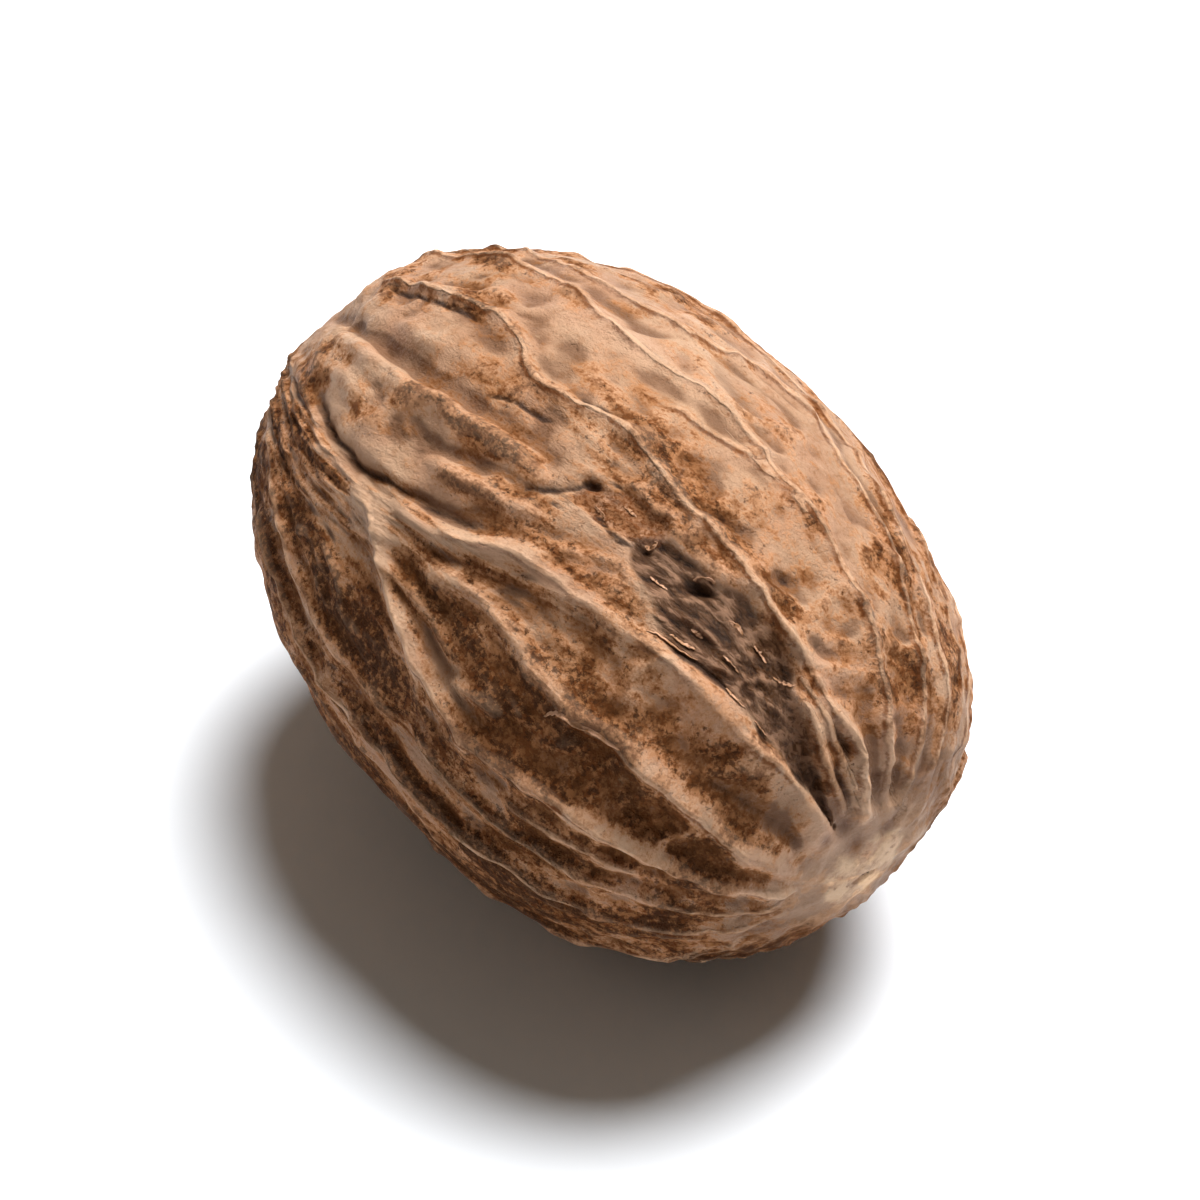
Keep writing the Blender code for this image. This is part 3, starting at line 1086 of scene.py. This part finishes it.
def add_scab(seed, height):
    """The height with the flat, flaking scab in it, and the scab's share of each point."""
    inside = scab_share(seed)
    plate = smoothstep(0.0, 0.25, inside)
    flaked = seed.sample(seed.points * 2.2 + 9.0, noise.cell)
    height = height * (1 - 0.8 * plate) - plate * (SCAB_DEPTH - SCAB_FLAKES * flaked)
    height += SCAB_RIM * np.exp(-(((inside + SCAB_RIM_WIDTH) / SCAB_RIM_WIDTH) ** 2))
    return height, plate


def scurf_density(seed, lift):
    """How thick the scurf lies: most on the flanks of ridges and low down, least by the hilum. The
    extra scurf low down is partly painted shade.
    """
    turn = seed.roll % 360
    patch = seed.pattern(0.15, 0.42, 31.0, lambda point: noise.fractal(point, 0.7, 2.1, 3))
    flank = smoothstep(0.1, 0.4, lift) * (1 - smoothstep(0.75, 1.0, lift))
    clean = np.exp(-((wrap(seed.roll - 62) / 34) ** 2)) * smoothstep(30, 60, seed.polar)
    # More scurf on the lower side: partly real scurf and partly painted shade.
    low_side_scurf_and_shade = smoothstep(122, 172, turn) * smoothstep(360, 312, turn)
    lip = np.exp(-((wrap(seed.roll - 113) / 6) ** 2) - ((seed.polar - 68) / 20) ** 2)
    upper = np.exp(-((wrap(seed.roll - 118) / 30) ** 2)) * smoothstep(96, 118, seed.polar)
    scurf = 0.27 + 0.30 * flank + 0.42 * patch + 0.27 * low_side_scurf_and_shade
    scurf -= 0.06 * clean + 0.30 * lip + 0.10 * upper
    scurf -= 0.35 * (1 - smoothstep(8, 26, seed.polar))
    return np.clip(scurf, 0, 1)


def coat_relief(seed, shape, edges):
    """Height of the coat over the smooth egg, and the fields that its material reads."""
    noise.seed_set(RANDOM_SEED)
    texture = coat_texture(seed)
    creases = coat_creases(seed, shape.vein_width / MM)
    zones = Zones(seed, shape.hilum_radius / MM)
    folds = creases.folds * folds_left(zones)
    uneven = 1 + 0.3 * seed.sample(seed.points * 0.9, noise.noise)

    # The crumpled floor of the raphe.
    floor = smoothstep(0, 0.6, raphe_share(seed))
    rough_floor = smoothstep(22, 45, seed.polar)
    warp = seed.sample(seed.points * 0.5, noise.noise_vector) * 0.35
    crumple = seed.pattern(0.40, 1.4, warp + 21.0, ridged(0.8, 2.0, 3))
    crumpled = RAPHE_CRUMPLE * (crumple.clip(RAPHE_LOWEST) - 1.2) * rough_floor

    # All that stands up or is cut in. Only what differs from its surroundings is kept of it, so that
    # many ridges side by side don't make the seed fatter.
    broad = SWELL * texture.swell + RIPPLE * texture.ripple
    close = WRINKLES * texture.wrinkle + DIMPLES * texture.dimples
    calm = (1 - 0.5 * zones.far_side) * (1 - 0.6 * zones.near_hilum) * (1 - 0.35 * zones.underside)
    net = zones.creased * (1 - 0.8 * floor)
    height = zones.creased * calm * (broad + close)
    height += net * (SMALL_VEINS * texture.small_veins + FINE_VEINS * texture.fine_veins)
    height += PLEATS * zones.off_cork * zones.near_hilum * texture.pleats
    height += smoothstep(0.3, 1.3, zones.gap) * zones.creased * folds * uneven
    height += zones.veined * (1 - 0.6 * zones.low_half * zones.near_hilum) * creases.veins
    height -= zones.creased * creases.cuts * uneven
    height -= floor * (RAPHE_DEPTH - crumpled)
    height, scab = add_scab(seed, height)
    pit, pit_shade = pits(seed)
    dents = brown_dents(seed)
    height -= pit + DENT_DEPTH * dents
    height = -hollows(edges, height, BROAD_ROUNDS)
    height += swellings(seed) + LUMPS * texture.lumps + CORK_HEIGHT * zones.cork
    height -= CHALAZA_DEPTH * zones.chalaza + SLIT_DEPTH * hilum_slit(seed)

    # How high each point stands, for the colours.
    body = folds - 0.8 * creases.cuts - 0.3 * floor
    body += 0.24 * texture.swell + 0.12 * texture.ripple
    body += 0.15 * texture.small_veins + 0.08 * texture.wrinkle
    lift = smoothstep(-0.15, 0.62, body)
    fields = {
        "vein_gap": creases.vein_gap,
        "vein": creases.vein_shows,
        "net": net * texture.small_veins,
        "hollow": hollows(edges, height, NARROW_ROUNDS),
        "lift": lift,
        "scurf": scurf_density(seed, lift),
        "cut": np.maximum(creases.cut_shade, pit_shade),
        "scab": scab,
        "dent": dents,
        "raphe": floor,
        "crumple": smoothstep(0.5, 2.2, crumple) * rough_floor + 0.45 * (1 - rough_floor),
        "hilum": zones.cork,
        "near_hilum": zones.near_hilum,
    }
    return height, fields


def lay_down(seed, height, shape):
    """The coat's points in metres: leaning, pressed flat where it rests, and filling the seed's box."""
    points = seed.points + seed.normals * height[:, None]
    lean = np.array(Matrix.Rotation(shape.dip, 3, "Y"))
    points = points @ lean.T
    points *= np.array(SIZE) / MM / (points.max(0) - points.min(0))
    points -= (points.max(0) + points.min(0)) / 2
    points *= MM
    bottom = points[:, 2].min()
    points[:, 2] -= bottom + shape.flat_depth
    points[:, 2] *= SIZE.z / points[:, 2].max()
    points[:, 2] = np.maximum(points[:, 2], 0)
    points[:, :2] += np.array((LOW + HIGH) / 2)[:2]
    return points


def add_field(mesh, name, values, kind="FLOAT"):
    """Stores a number or a vector for each point of a mesh."""
    attribute = mesh.attributes.new(name, kind, "POINT")
    member = "value" if kind == "FLOAT" else "vector"
    attribute.data.foreach_set(member, np.ravel(values).astype(np.float32))


class Graph:
    """Short calls that build a material's nodes."""

    def __init__(self, material):
        material.use_nodes = True
        self.tree = material.node_tree
        self.shader = self.tree.nodes["Principled BSDF"]

    def node(self, kind, inputs=(), **settings):
        """A new node with its settings and inputs."""
        made = self.tree.nodes.new("ShaderNode" + kind)
        for name, value in settings.items():
            setattr(made, name, value)
        for socket, value in dict(inputs).items():
            self.feed(made.inputs[socket], value)
        return made

    def feed(self, socket, value):
        """Links an output to a socket, or sets a plain value on it."""
        if isinstance(value, bpy.types.NodeSocket):
            self.tree.links.new(value, socket)
        else:
            socket.default_value = value

    def millimetres(self):
        """The piece's own coordinates, in millimetres."""
        return self.stretch(self.node("TexCoord").outputs["Object"], (1 / MM, 1 / MM, 1 / MM))

    def field(self, name):
        """A number stored in the mesh."""
        return self.node("Attribute", attribute_name=name).outputs["Fac"]

    def vector_field(self, name):
        """A vector stored in the mesh."""
        return self.node("Attribute", attribute_name=name).outputs["Vector"]

    def stretch(self, vector, scale, offset=(0, 0, 0)):
        """A vector scaled and then moved."""
        inputs = {"Vector": vector, "Scale": scale, "Location": offset}
        return self.node("Mapping", inputs).outputs["Vector"]

    def noise(self, vector, scale, detail=4.0, roughness=0.5, distortion=0.0):
        """A cloudy pattern, from 0 to 1."""
        inputs = {"Vector": vector, "Scale": scale, "Detail": detail}
        inputs |= {"Roughness": roughness, "Distortion": distortion}
        return self.node("TexNoise", inputs).outputs["Fac"]

    def math(self, operation, first, second=0.0, clamp=False):
        """One step of arithmetic."""
        made = self.node("Math", operation=operation, use_clamp=clamp)
        self.feed(made.inputs[0], first)
        self.feed(made.inputs[1], second)
        return made.outputs[0]

    def times(self, product, *factors):
        """The product of several values."""
        for factor in factors:
            product = self.math("MULTIPLY", product, factor)
        return product

    def plus(self, first, second):
        """The sum of two values."""
        return self.math("ADD", first, second)

    def minus(self, first, second):
        """The first value less the second."""
        return self.math("SUBTRACT", first, second)

    def about_zero(self, pattern, reach):
        """A pattern moved from about a half to about 0, and scaled."""
        return self.times(self.minus(pattern, 0.5), reach)

    def rise(self, value, low, high, bottom=0.0, top=1.0):
        """A smooth rise from bottom to top as a value goes from low to high."""
        inputs = {"Value": value, "From Min": low, "From Max": high, "To Min": bottom, "To Max": top}
        return self.node("MapRange", inputs, interpolation_type="SMOOTHSTEP").outputs["Result"]

    def mix(self, share, first, second):
        """The first colour with a share of the second over it."""
        made = self.node("Mix", data_type="RGBA", blend_type="MIX")
        self.feed(made.inputs["Factor"], share)
        for socket, value in ((made.inputs[6], first), (made.inputs[7], second)):
            self.feed(socket, value if isinstance(value, bpy.types.NodeSocket) else (*value, 1.0))
        return made.outputs[2]

    def bump(self, height, millimetres, normal=None):
        """A pattern that stands some millimetres high, over another one where its normal is given."""
        made = self.node("Bump", {"Height": height, "Distance": millimetres * MM})
        if normal is not None:
            self.feed(made.inputs["Normal"], normal)
        return made.outputs["Normal"]


class CoatGraph(Graph):
    """The coat's nodes: the patterns that its layers share, and the layers from the lowest up."""

    def __init__(self, material, colours):
        super().__init__(material)
        self.colours = colours
        self.place = self.millimetres()
        self.grain = self.vector_field("grain")
        self.streak = self.stretch(self.grain, (0.5, 1, 1))
        self.face = self.vector_field("face")
        self.lift = self.field("lift")
        self.near_hilum = self.field("near_hilum")

        # Mottling along the ribs, blotches, grit, and what makes lines and edges wander.
        self.mottle = self.noise(self.streak, 1.1, 8, 0.7)
        self.blush = self.noise(self.place, 2.0, 6, 0.7)
        self.grit = self.noise(self.place, 7.0, 5, 0.7)
        self.wander = self.about_zero(self.noise(self.streak, 2.5, 6, 0.65), 0.32)

        # Scurf: where it stains the skin, and the grains that stand on it.
        self.density = self.field("scurf")
        flecks = self.times(self.noise(self.streak, 1.1, 9, 0.70), 0.72)
        self.flecks = self.plus(flecks, self.times(self.grit, 0.28))
        scurf = self.plus(self.flecks, self.times(self.density, 0.28))
        clumps = self.rise(self.noise(self.place, 3.4, 5, 0.65), 0.44, 0.56, 0.25, 1.0)
        self.stain = self.rise(scurf, 0.535, 0.68)
        self.grains = self.times(self.rise(scurf, 0.595, 0.71), clumps)

        # The thin line of a vein, thinner still by the hilum.
        self.vein_gap = self.plus(self.field("vein_gap"), self.wander)
        self.vein_shows = self.rise(self.field("vein"), 0.12, 0.5)
        slim = self.minus(1.0, self.times(self.near_hilum, 0.6))
        line = self.rise(self.times(self.math("ABSOLUTE", self.vein_gap), slim), 0.14, 0.05)
        self.line = self.times(line, self.vein_shows, self.rise(self.mottle, 0.38, 0.54, 1.0, 0.4))

        # The crumpled floor of the raphe, and how deep in it a point is.
        self.crinkle = self.noise(self.stretch(self.grain, (0.5, 2.3, 2.3)), 1.5, 7, 0.72, 0.6)
        self.crumple = self.plus(self.times(self.field("crumple"), 0.35), self.crinkle)
        self.deep = self.rise(self.plus(self.field("raphe"), self.wander), 0.1, 0.75)

    def ground(self):
        """Clean skin: tan and rosy, darker in the valleys (partly painted shade), with a net of small
        pale veins.
        """
        patches = self.noise(self.place, 0.35, 3, 0.5)
        colour = self.mix(self.rise(patches, 0.4, 0.62), self.colours.tan, self.colours.rosy)
        colour = self.mix(self.rise(self.mottle, 0.49, 0.60, 0.0, 0.5), colour, self.colours.valley)
        colour = self.mix(self.rise(self.blush, 0.52, 0.62, 0.0, 0.5), colour, self.colours.rust)
        # Partly painted shade: the low ground between the folds is darkened towards the valley colour.
        low = self.minus(1.0, self.rise(self.lift, 0.0, 0.6))
        colour = self.mix(self.times(low, 0.40), colour, self.colours.valley)
        net = self.times(self.field("net"), self.rise(self.mottle, 0.35, 0.6, 0.1, 0.5))
        return self.mix(net, colour, self.colours.vein)

    def scurf(self, colour):
        """Rust brown scurf: a stain, clumped grains and dark specks."""
        stain = self.rise(self.density, 0.35, 0.85, 0.0, 0.5)
        colour = self.mix(stain, colour, self.colours.rust)
        colour = self.mix(self.times(self.stain, 0.65), colour, self.colours.rust)
        colour = self.mix(self.times(self.grains, 0.88), colour, self.colours.scurf)
        specks = self.plus(self.noise(self.place, 4.0, 6, 0.75), self.times(self.density, 0.30))
        return self.mix(self.rise(specks, 0.70, 0.78, 0.0, 0.75), colour, self.colours.dark)

    def crest_highlight_crevice_dirt_and_shade(self, colour):
        """Paler crests, a painted highlight, and dark narrow hollows, partly dirt and partly painted
        shade.
        """
        hollow = self.field("hollow")
        clean = self.rise(self.flecks, 0.30, 0.42, 1.0, 0.35)
        # Painted highlight on the crests, and painted shade mixed with dirt in the narrow hollows.
        crest = self.times(self.rise(hollow, -0.015, -0.09), clean)
        colour = self.mix(self.times(crest, 0.45), colour, self.colours.crest)
        return self.mix(self.rise(hollow, 0.025, 0.11, 0.0, 0.65), colour, self.colours.crevice_dirt_and_shade)

    def veins(self, colour):
        """Pale veins with a dark edge on the side of the larger roll, partly painted shadow and partly
        reddish brown.
        """
        # Painted shadow, with some reddish brown: the dark edge on the vein's side of the larger roll.
        edge = self.times(self.rise(self.vein_gap, 0.07, 0.13), self.rise(self.vein_gap, 0.28, 0.18))
        edge = self.times(edge, self.vein_shows, self.rise(self.mottle, 0.4, 0.55, 0.2, 0.8))
        colour = self.mix(edge, colour, self.colours.scurf)
        pale = self.times(self.line, self.rise(self.near_hilum, 0.2, 1.0, 0.5, 0.95))
        return self.mix(pale, colour, self.colours.vein)

    def raphe(self, colour):
        """The crumpled floor of the raphe: dark in the crumples' hollows and rosy on their tops, partly
        painted shade and highlight.
        """
        # Partly painted shade and highlight: dark where the crumples are low, rosy where they are high.
        floor = self.mix(self.rise(self.crumple, 0.44, 0.58), self.colours.dark, self.colours.raphe)
        floor = self.mix(self.rise(self.crumple, 0.60, 0.72, 0.0, 0.85), floor, self.colours.rosy)
        return self.mix(self.times(self.deep, 0.9), colour, floor)

    def scab(self, colour):
        """The flaking scab at the raphe's end."""
        plate = self.plus(self.field("scab"), self.minus(self.crinkle, 0.5))
        pale = self.rise(self.noise(self.place, 2.4, 6, 0.7), 0.50, 0.62, 0.0, 0.5)
        crust = self.mix(pale, self.colours.scab, self.colours.rosy)
        crust = self.mix(self.rise(self.grit, 0.48, 0.57, 0.0, 0.85), crust, self.colours.scurf)
        return self.mix(self.rise(plate, 0.35, 0.65, 0.0, 0.9), colour, crust)

    def cuts(self, colour):
        """Cracks and holes, painted dark: partly their own colour and partly painted shade."""
        ragged = self.minus(self.noise(self.streak, 3.0, 5, 0.65), 0.5)
        # Partly painted shade: the grooves and holes are darkened.
        cut = self.plus(self.field("cut"), ragged)
        return self.mix(self.rise(cut, 0.40, 0.85, 0.0, 0.85), colour, self.colours.dark)

    def hilum(self, colour):
        """Dark dips round the hilum, partly painted shade, faint rays and a pale halo, then its cork,
        dents and slit, whose dark line is painted shade.
        """
        # Partly painted shade: the low ground round the hilum is darkened.
        dip = self.times(self.rise(self.lift, 0.75, 0.25), self.near_hilum)
        colour = self.mix(self.times(dip, 0.65), colour, self.colours.crevice_dirt_and_shade)
        outwards = {0: self.stretch(self.face, (1, 1, 0))}
        outwards = self.node("VectorMath", outwards, operation="NORMALIZE").outputs["Vector"]
        rays = self.times(self.rise(self.noise(outwards, 6.0, 5, 0.6), 0.52, 0.40), self.near_hilum)
        rays = self.times(rays, self.rise(self.field("hilum"), 0.5, 0.0))
        colour = self.mix(self.times(rays, 0.20), colour, self.colours.rust)
        halo = self.rise(self.near_hilum, 0.75, 1.0, 0.0, 0.45)
        colour = self.mix(halo, colour, self.colours.vein)

        rosy = self.rise(self.noise(self.place, 1.3, 6, 0.65), 0.42, 0.62, 0.0, 0.8)
        rusty = self.rise(self.noise(self.place, 2.6, 6, 0.7), 0.57, 0.66, 0.0, 0.6)
        cork = self.mix(rosy, self.colours.hilum, self.colours.rosy)
        cork = self.mix(rusty, cork, self.colours.rust)
        ragged = self.about_zero(self.noise(self.place, 1.4, 6, 0.68), 1.3)
        inside = self.plus(self.field("hilum"), ragged)
        colour = self.mix(self.rise(inside, 0.1, 0.9, 0.0, 0.9), colour, cork)
        colour = self.mix(self.times(self.field("dent"), 0.7), colour, self.colours.scurf)

        # Painted shade: the dark line along the slit.
        slit = self.stretch(self.face, (1, 1, 0), (-SLIT_MIDDLE[0], -SLIT_MIDDLE[1], 0))
        slit = {0: self.stretch(slit, (1 / SLIT_LENGTH, 1 / SLIT_SHADE, 0))}
        slit = self.node("VectorMath", slit, operation="LENGTH").outputs["Value"]
        slit = self.plus(slit, self.about_zero(self.blush, 0.8))
        return self.mix(self.rise(slit, 1.1, 0.6, 0.0, 0.9), colour, self.colours.dark)

    def gloss(self):
        """A dull sheen on the clean skin and hardly any on the scurf."""
        rough = self.rise(self.mottle, 0.3, 0.7, 0.46, 0.6)
        rough = self.math("ADD", rough, self.times(self.stain, 0.2), clamp=True)
        self.feed(self.shader.inputs["Roughness"], rough)
        level = self.shader.inputs["Specular IOR Level"]
        level.default_value = 0.17  # the one level that is left where a model can't hold a varying one
        self.feed(level, self.rise(self.stain, 0.0, 1.0, 0.22, 0.05))

    def surface(self):
        """Roughness of the surface that is too fine for the mesh."""
        normal = self.bump(self.mottle, MOTTLE_BUMP)
        normal = self.bump(self.times(self.grains, -1.0), SCURF_BUMP, normal)
        normal = self.bump(self.grit, GRIT_BUMP, normal)
        normal = self.bump(self.line, VEIN_BUMP, normal)
        normal = self.bump(self.times(self.crumple, self.deep), CRUMPLE_BUMP, normal)
        self.feed(self.shader.inputs["Normal"], normal)


def coat_material(colours):
    """Dry seed coat: tan with rust brown scurf, pale veins, dark valleys and a corky hilum."""
    material = bpy.data.materials.new("seed_coat")
    graph = CoatGraph(material, colours)
    colour = graph.ground()
    layers = (graph.scurf, graph.crest_highlight_crevice_dirt_and_shade, graph.veins, graph.raphe, graph.scab, graph.cuts, graph.hilum)
    for layer in layers:
        colour = layer(colour)
    graph.feed(graph.shader.inputs["Base Color"], colour)
    graph.gloss()
    graph.surface()
    return material


def floor_material(studio):
    """Plain pale floor with a faint unevenness."""
    material = bpy.data.materials.new("pale_floor")
    graph = Graph(material)
    place = graph.node("TexCoord").outputs["Object"]
    tone = graph.noise(place, 6.0, 3)
    colour = graph.mix(tone, studio.floor_shade, studio.floor_colour)
    graph.feed(graph.shader.inputs["Base Color"], colour)
    graph.shader.inputs["Roughness"].default_value = 0.7
    return material


class NUTMEG_OT_seed_coat(bpy.types.Operator):
    """Models the veined seed coat in the seed's place"""

    bl_idname = "nutmeg.seed_coat"
    bl_label = "Seed coat"

    def execute(self, context):
        shape = context.scene.nutmeg_shape
        coat = fine_block()
        coat.name = coat.data.name = "seed_coat"
        seed = Seed(shape, *block_angles(coat.data))
        edges = np.zeros(len(coat.data.edges) * 2, int)
        coat.data.edges.foreach_get("vertices", edges)
        height, fields = coat_relief(seed, shape, edges.reshape(-1, 2))
        coat.data.vertices.foreach_set("co", lay_down(seed, height, shape).ravel())
        for name, values in fields.items():
            add_field(coat.data, name, values)
        add_field(coat.data, "grain", seed.grain, "FLOAT_VECTOR")
        add_field(coat.data, "face", seed.face_points(), "FLOAT_VECTOR")
        add_field(coat.data, "polar", seed.polar)
        add_field(coat.data, "roll", seed.roll)
        only(coat)
        bpy.ops.object.shade_smooth()
        coat.data.materials.append(coat_material(context.scene.nutmeg_colours))
        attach(coat, "root")
        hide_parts("nutmeg")
        return {"FINISHED"}


def skin_material(colours):
    """Dry skin of the same colours as the coat, rosy and brown with a few specks of rust."""
    material = bpy.data.materials.new("loose_skin")
    graph = Graph(material)
    place = graph.millimetres()
    mottle = graph.noise(place, 3.0, 6, 0.65)
    colour = graph.mix(graph.rise(mottle, 0.40, 0.60), colours.rosy, colours.valley)
    specks = graph.rise(graph.noise(place, 6.0, 4, 0.7), 0.56, 0.64, 0.0, 0.6)
    colour = graph.mix(specks, colour, colours.rust)
    graph.feed(graph.shader.inputs["Base Color"], colour)
    graph.feed(graph.shader.inputs["Roughness"], graph.rise(mottle, 0.3, 0.7, 0.5, 0.65))
    graph.shader.inputs["Specular IOR Level"].default_value = 0.3
    graph.feed(graph.shader.inputs["Normal"], graph.bump(mottle, SKIN_BUMP))
    return material


class CoatMap:
    """Finds points of the finished coat by polar angle and roll."""

    def __init__(self, mesh):
        count = len(mesh.vertices)
        self.points = np.zeros(count * 3)
        self.normals = np.zeros(count * 3)
        self.polar = np.zeros(count)
        self.roll = np.zeros(count)
        mesh.vertices.foreach_get("co", self.points)
        mesh.vertex_normals.foreach_get("vector", self.normals)
        mesh.attributes["polar"].data.foreach_get("value", self.polar)
        mesh.attributes["roll"].data.foreach_get("value", self.roll)
        self.points = self.points.reshape(count, 3)
        self.normals = self.normals.reshape(count, 3)
        self.ring = np.sin(np.radians(self.polar))

    def at(self, polar, roll):
        """The mean point and normal of the few points nearest to a place."""
        gap = np.hypot(self.polar - polar, wrap(self.roll - roll) * self.ring)
        near = np.argpartition(gap, NEAREST_POINTS)[:NEAREST_POINTS]
        return Vector(self.points[near].mean(0)), Vector(self.normals[near].mean(0)).normalized()


def flake(coat_map, line, width, curl):
    """One curled strip of skin, held to the coat along a line."""
    polars, rolls = np.array(line, float).T
    shares = np.linspace(0, 1, FLAKE_SECTIONS)
    knots = np.linspace(0, 1, len(line))
    places = zip(curve_at(knots, polars, shares), curve_at(knots, rolls, shares))
    held = [coat_map.at(polar, roll) for polar, roll in places]
    last = FLAKE_SECTIONS - 1
    far_edge = FLAKE_COLUMNS - 1
    bpy.ops.mesh.primitive_grid_add(x_subdivisions=last, y_subdivisions=far_edge, size=1)
    strip = bpy.context.object
    radius = abs(width) * MM / math.radians(curl)
    for vert in strip.data.vertices:
        section = round((vert.co.x + 0.5) * last)
        column = round((vert.co.y + 0.5) * far_edge)
        point, normal = held[section]
        before = held[max(section - 1, 0)][0]
        after = held[min(section + 1, last)][0]
        side = (after - before).cross(normal).normalized() * math.copysign(1, width)
        share = FLAKE_TIP + (1 - 2 * FLAKE_TIP) * section / last
        full = math.sin(math.pi * share) ** 0.6
        full *= 1 + FLAKE_RAGGED * noise.noise(point / MM * 3.0)
        angle = math.radians(curl) * column / far_edge
        out = radius * full * math.sin(angle)
        up = radius * full * (1 - math.cos(angle)) * FLAKE_RISE
        vert.co = point + side * out + normal * (up - FLAKE_SUNK * MM)
    only(strip)
    thicken = strip.modifiers.new("thickness", "SOLIDIFY")
    thicken.thickness = FLAKE_THICKNESS * MM
    thicken.offset = 0
    bpy.ops.object.modifier_apply(modifier=thicken.name)
    bpy.ops.object.mode_set(mode="EDIT")
    bpy.ops.mesh.select_all(action="SELECT")
    bpy.ops.mesh.normals_make_consistent(inside=False)
    bpy.ops.object.mode_set(mode="OBJECT")
    return strip


class NUTMEG_OT_skin_flakes(bpy.types.Operator):
    """Models the loose flakes and fibres of skin on the coat"""

    bl_idname = "nutmeg.skin_flakes"
    bl_label = "Skin flakes"

    def execute(self, context):
        coat_map = CoatMap(bpy.data.objects["seed_coat"].data)
        strips = [flake(coat_map, *settings) for settings in FLAKES]
        only(strips[0])
        for strip in strips:
            strip.select_set(True)
        bpy.ops.object.join()
        skin = bpy.context.object
        skin.name = skin.data.name = "skin_flakes"
        bpy.ops.object.shade_smooth()
        skin.data.materials.append(skin_material(context.scene.nutmeg_colours))
        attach(skin, "root")
        return {"FINISHED"}


def aim(obj, place, target):
    """Puts an object at a place, looking at a target."""
    obj.location = place
    obj.rotation_euler = (Vector(target) - Vector(place)).to_track_quat("-Z", "Y").to_euler()


def area_light(name, place, target, size, power, colour):
    """A round area light at a place, turned to a target."""
    bpy.ops.object.light_add(type="AREA", location=place)
    light = bpy.context.object
    light.name = name
    light.data.shape = "DISK"
    light.data.size = size
    light.data.energy = power
    light.data.color = colour
    aim(light, place, target)


class NUTMEG_OT_stage(bpy.types.Operator):
    """Adds the floor, the lights, the sky and the camera"""

    bl_idname = "nutmeg.stage"
    bl_label = "Stage"

    def execute(self, context):
        studio = context.scene.nutmeg_studio
        scene = context.scene
        centre = Vector((0, 0, SIZE.z / 2))
        turn = studio.azimuth
        rise = studio.elevation
        level = math.cos(rise)
        back = Vector((math.sin(turn) * level, -math.cos(turn) * level, math.sin(rise)))
        right = Vector((math.cos(turn), math.sin(turn), 0))
        seen = Matrix((right, back.cross(right), back)).transposed()

        bpy.ops.mesh.primitive_plane_add(size=studio.floor_size, location=(0, 0, 0))
        floor = bpy.context.object
        floor.name = "floor"
        floor.data.materials.append(floor_material(studio))

        key = centre + studio.key_distance * (seen @ Vector(KEY_SIDE)).normalized()
        area_light("key", key, centre, studio.key_size, studio.key_power, studio.key_colour)
        fill = centre + studio.fill_distance * (seen @ Vector(FILL_SIDE)).normalized()
        area_light("fill", fill, centre, studio.fill_size, studio.fill_power, studio.fill_colour)

        world = bpy.data.worlds.new("sky")
        scene.world = world
        world.use_nodes = True
        sky = world.node_tree.nodes["Background"]
        sky.inputs["Color"].default_value = (*studio.sky_colour, 1)
        sky.inputs["Strength"].default_value = studio.sky_strength

        bpy.ops.object.camera_add()
        camera = bpy.context.object
        camera.name = "camera"
        aim(camera, centre + studio.distance * back, centre)
        camera.data.lens = camera.data.sensor_width * studio.distance / studio.view_width
        camera.data.clip_start = 0.01
        scene.camera = camera
        scene.view_settings.view_transform = "Standard"
        return {"FINISHED"}


class NUTMEG_PT_sidebar(bpy.types.Panel):
    """Lists the settings and the buttons"""

    bl_idname = "NUTMEG_PT_sidebar"
    bl_label = "Whole nutmeg"
    bl_space_type = "VIEW_3D"
    bl_region_type = "UI"
    bl_category = "Nutmeg"

    def draw(self, context):
        for group in GROUPS:
            settings = getattr(context.scene, group)
            for name in settings.bl_rna.properties.keys():
                if name not in ("rna_type", "name"):
                    self.layout.prop(settings, name)
        for operator in OPERATORS:
            self.layout.operator(operator.bl_idname)


GROUPS = {
    "nutmeg_shape": NutmegShape,
    "nutmeg_colours": NutmegColours,
    "nutmeg_studio": NutmegStudio,
}
OPERATORS = (NUTMEG_OT_seed_coat, NUTMEG_OT_skin_flakes, NUTMEG_OT_stage)
CLASSES = (*GROUPS.values(), *OPERATORS, NUTMEG_PT_sidebar)


def register():
    """Registers the classes and gives each scene its settings."""
    for made in CLASSES:
        bpy.utils.register_class(made)
    for name, group in GROUPS.items():
        setattr(bpy.types.Scene, name, bpy.props.PointerProperty(type=group))


def unregister():
    """Takes back what register did."""
    for name in GROUPS:
        delattr(bpy.types.Scene, name)
    for made in reversed(CLASSES):
        bpy.utils.unregister_class(made)


def corners(box):
    """A box as plain lists of numbers."""
    return [[float(value) for value in corner] for corner in box]


def main():
    """Builds the seed and its stage."""
    register()
    bpy.ops.nutmeg.seed_coat()
    bpy.ops.nutmeg.skin_flakes()
    bpy.ops.nutmeg.stage()


if __name__ == "__main__":
    main()
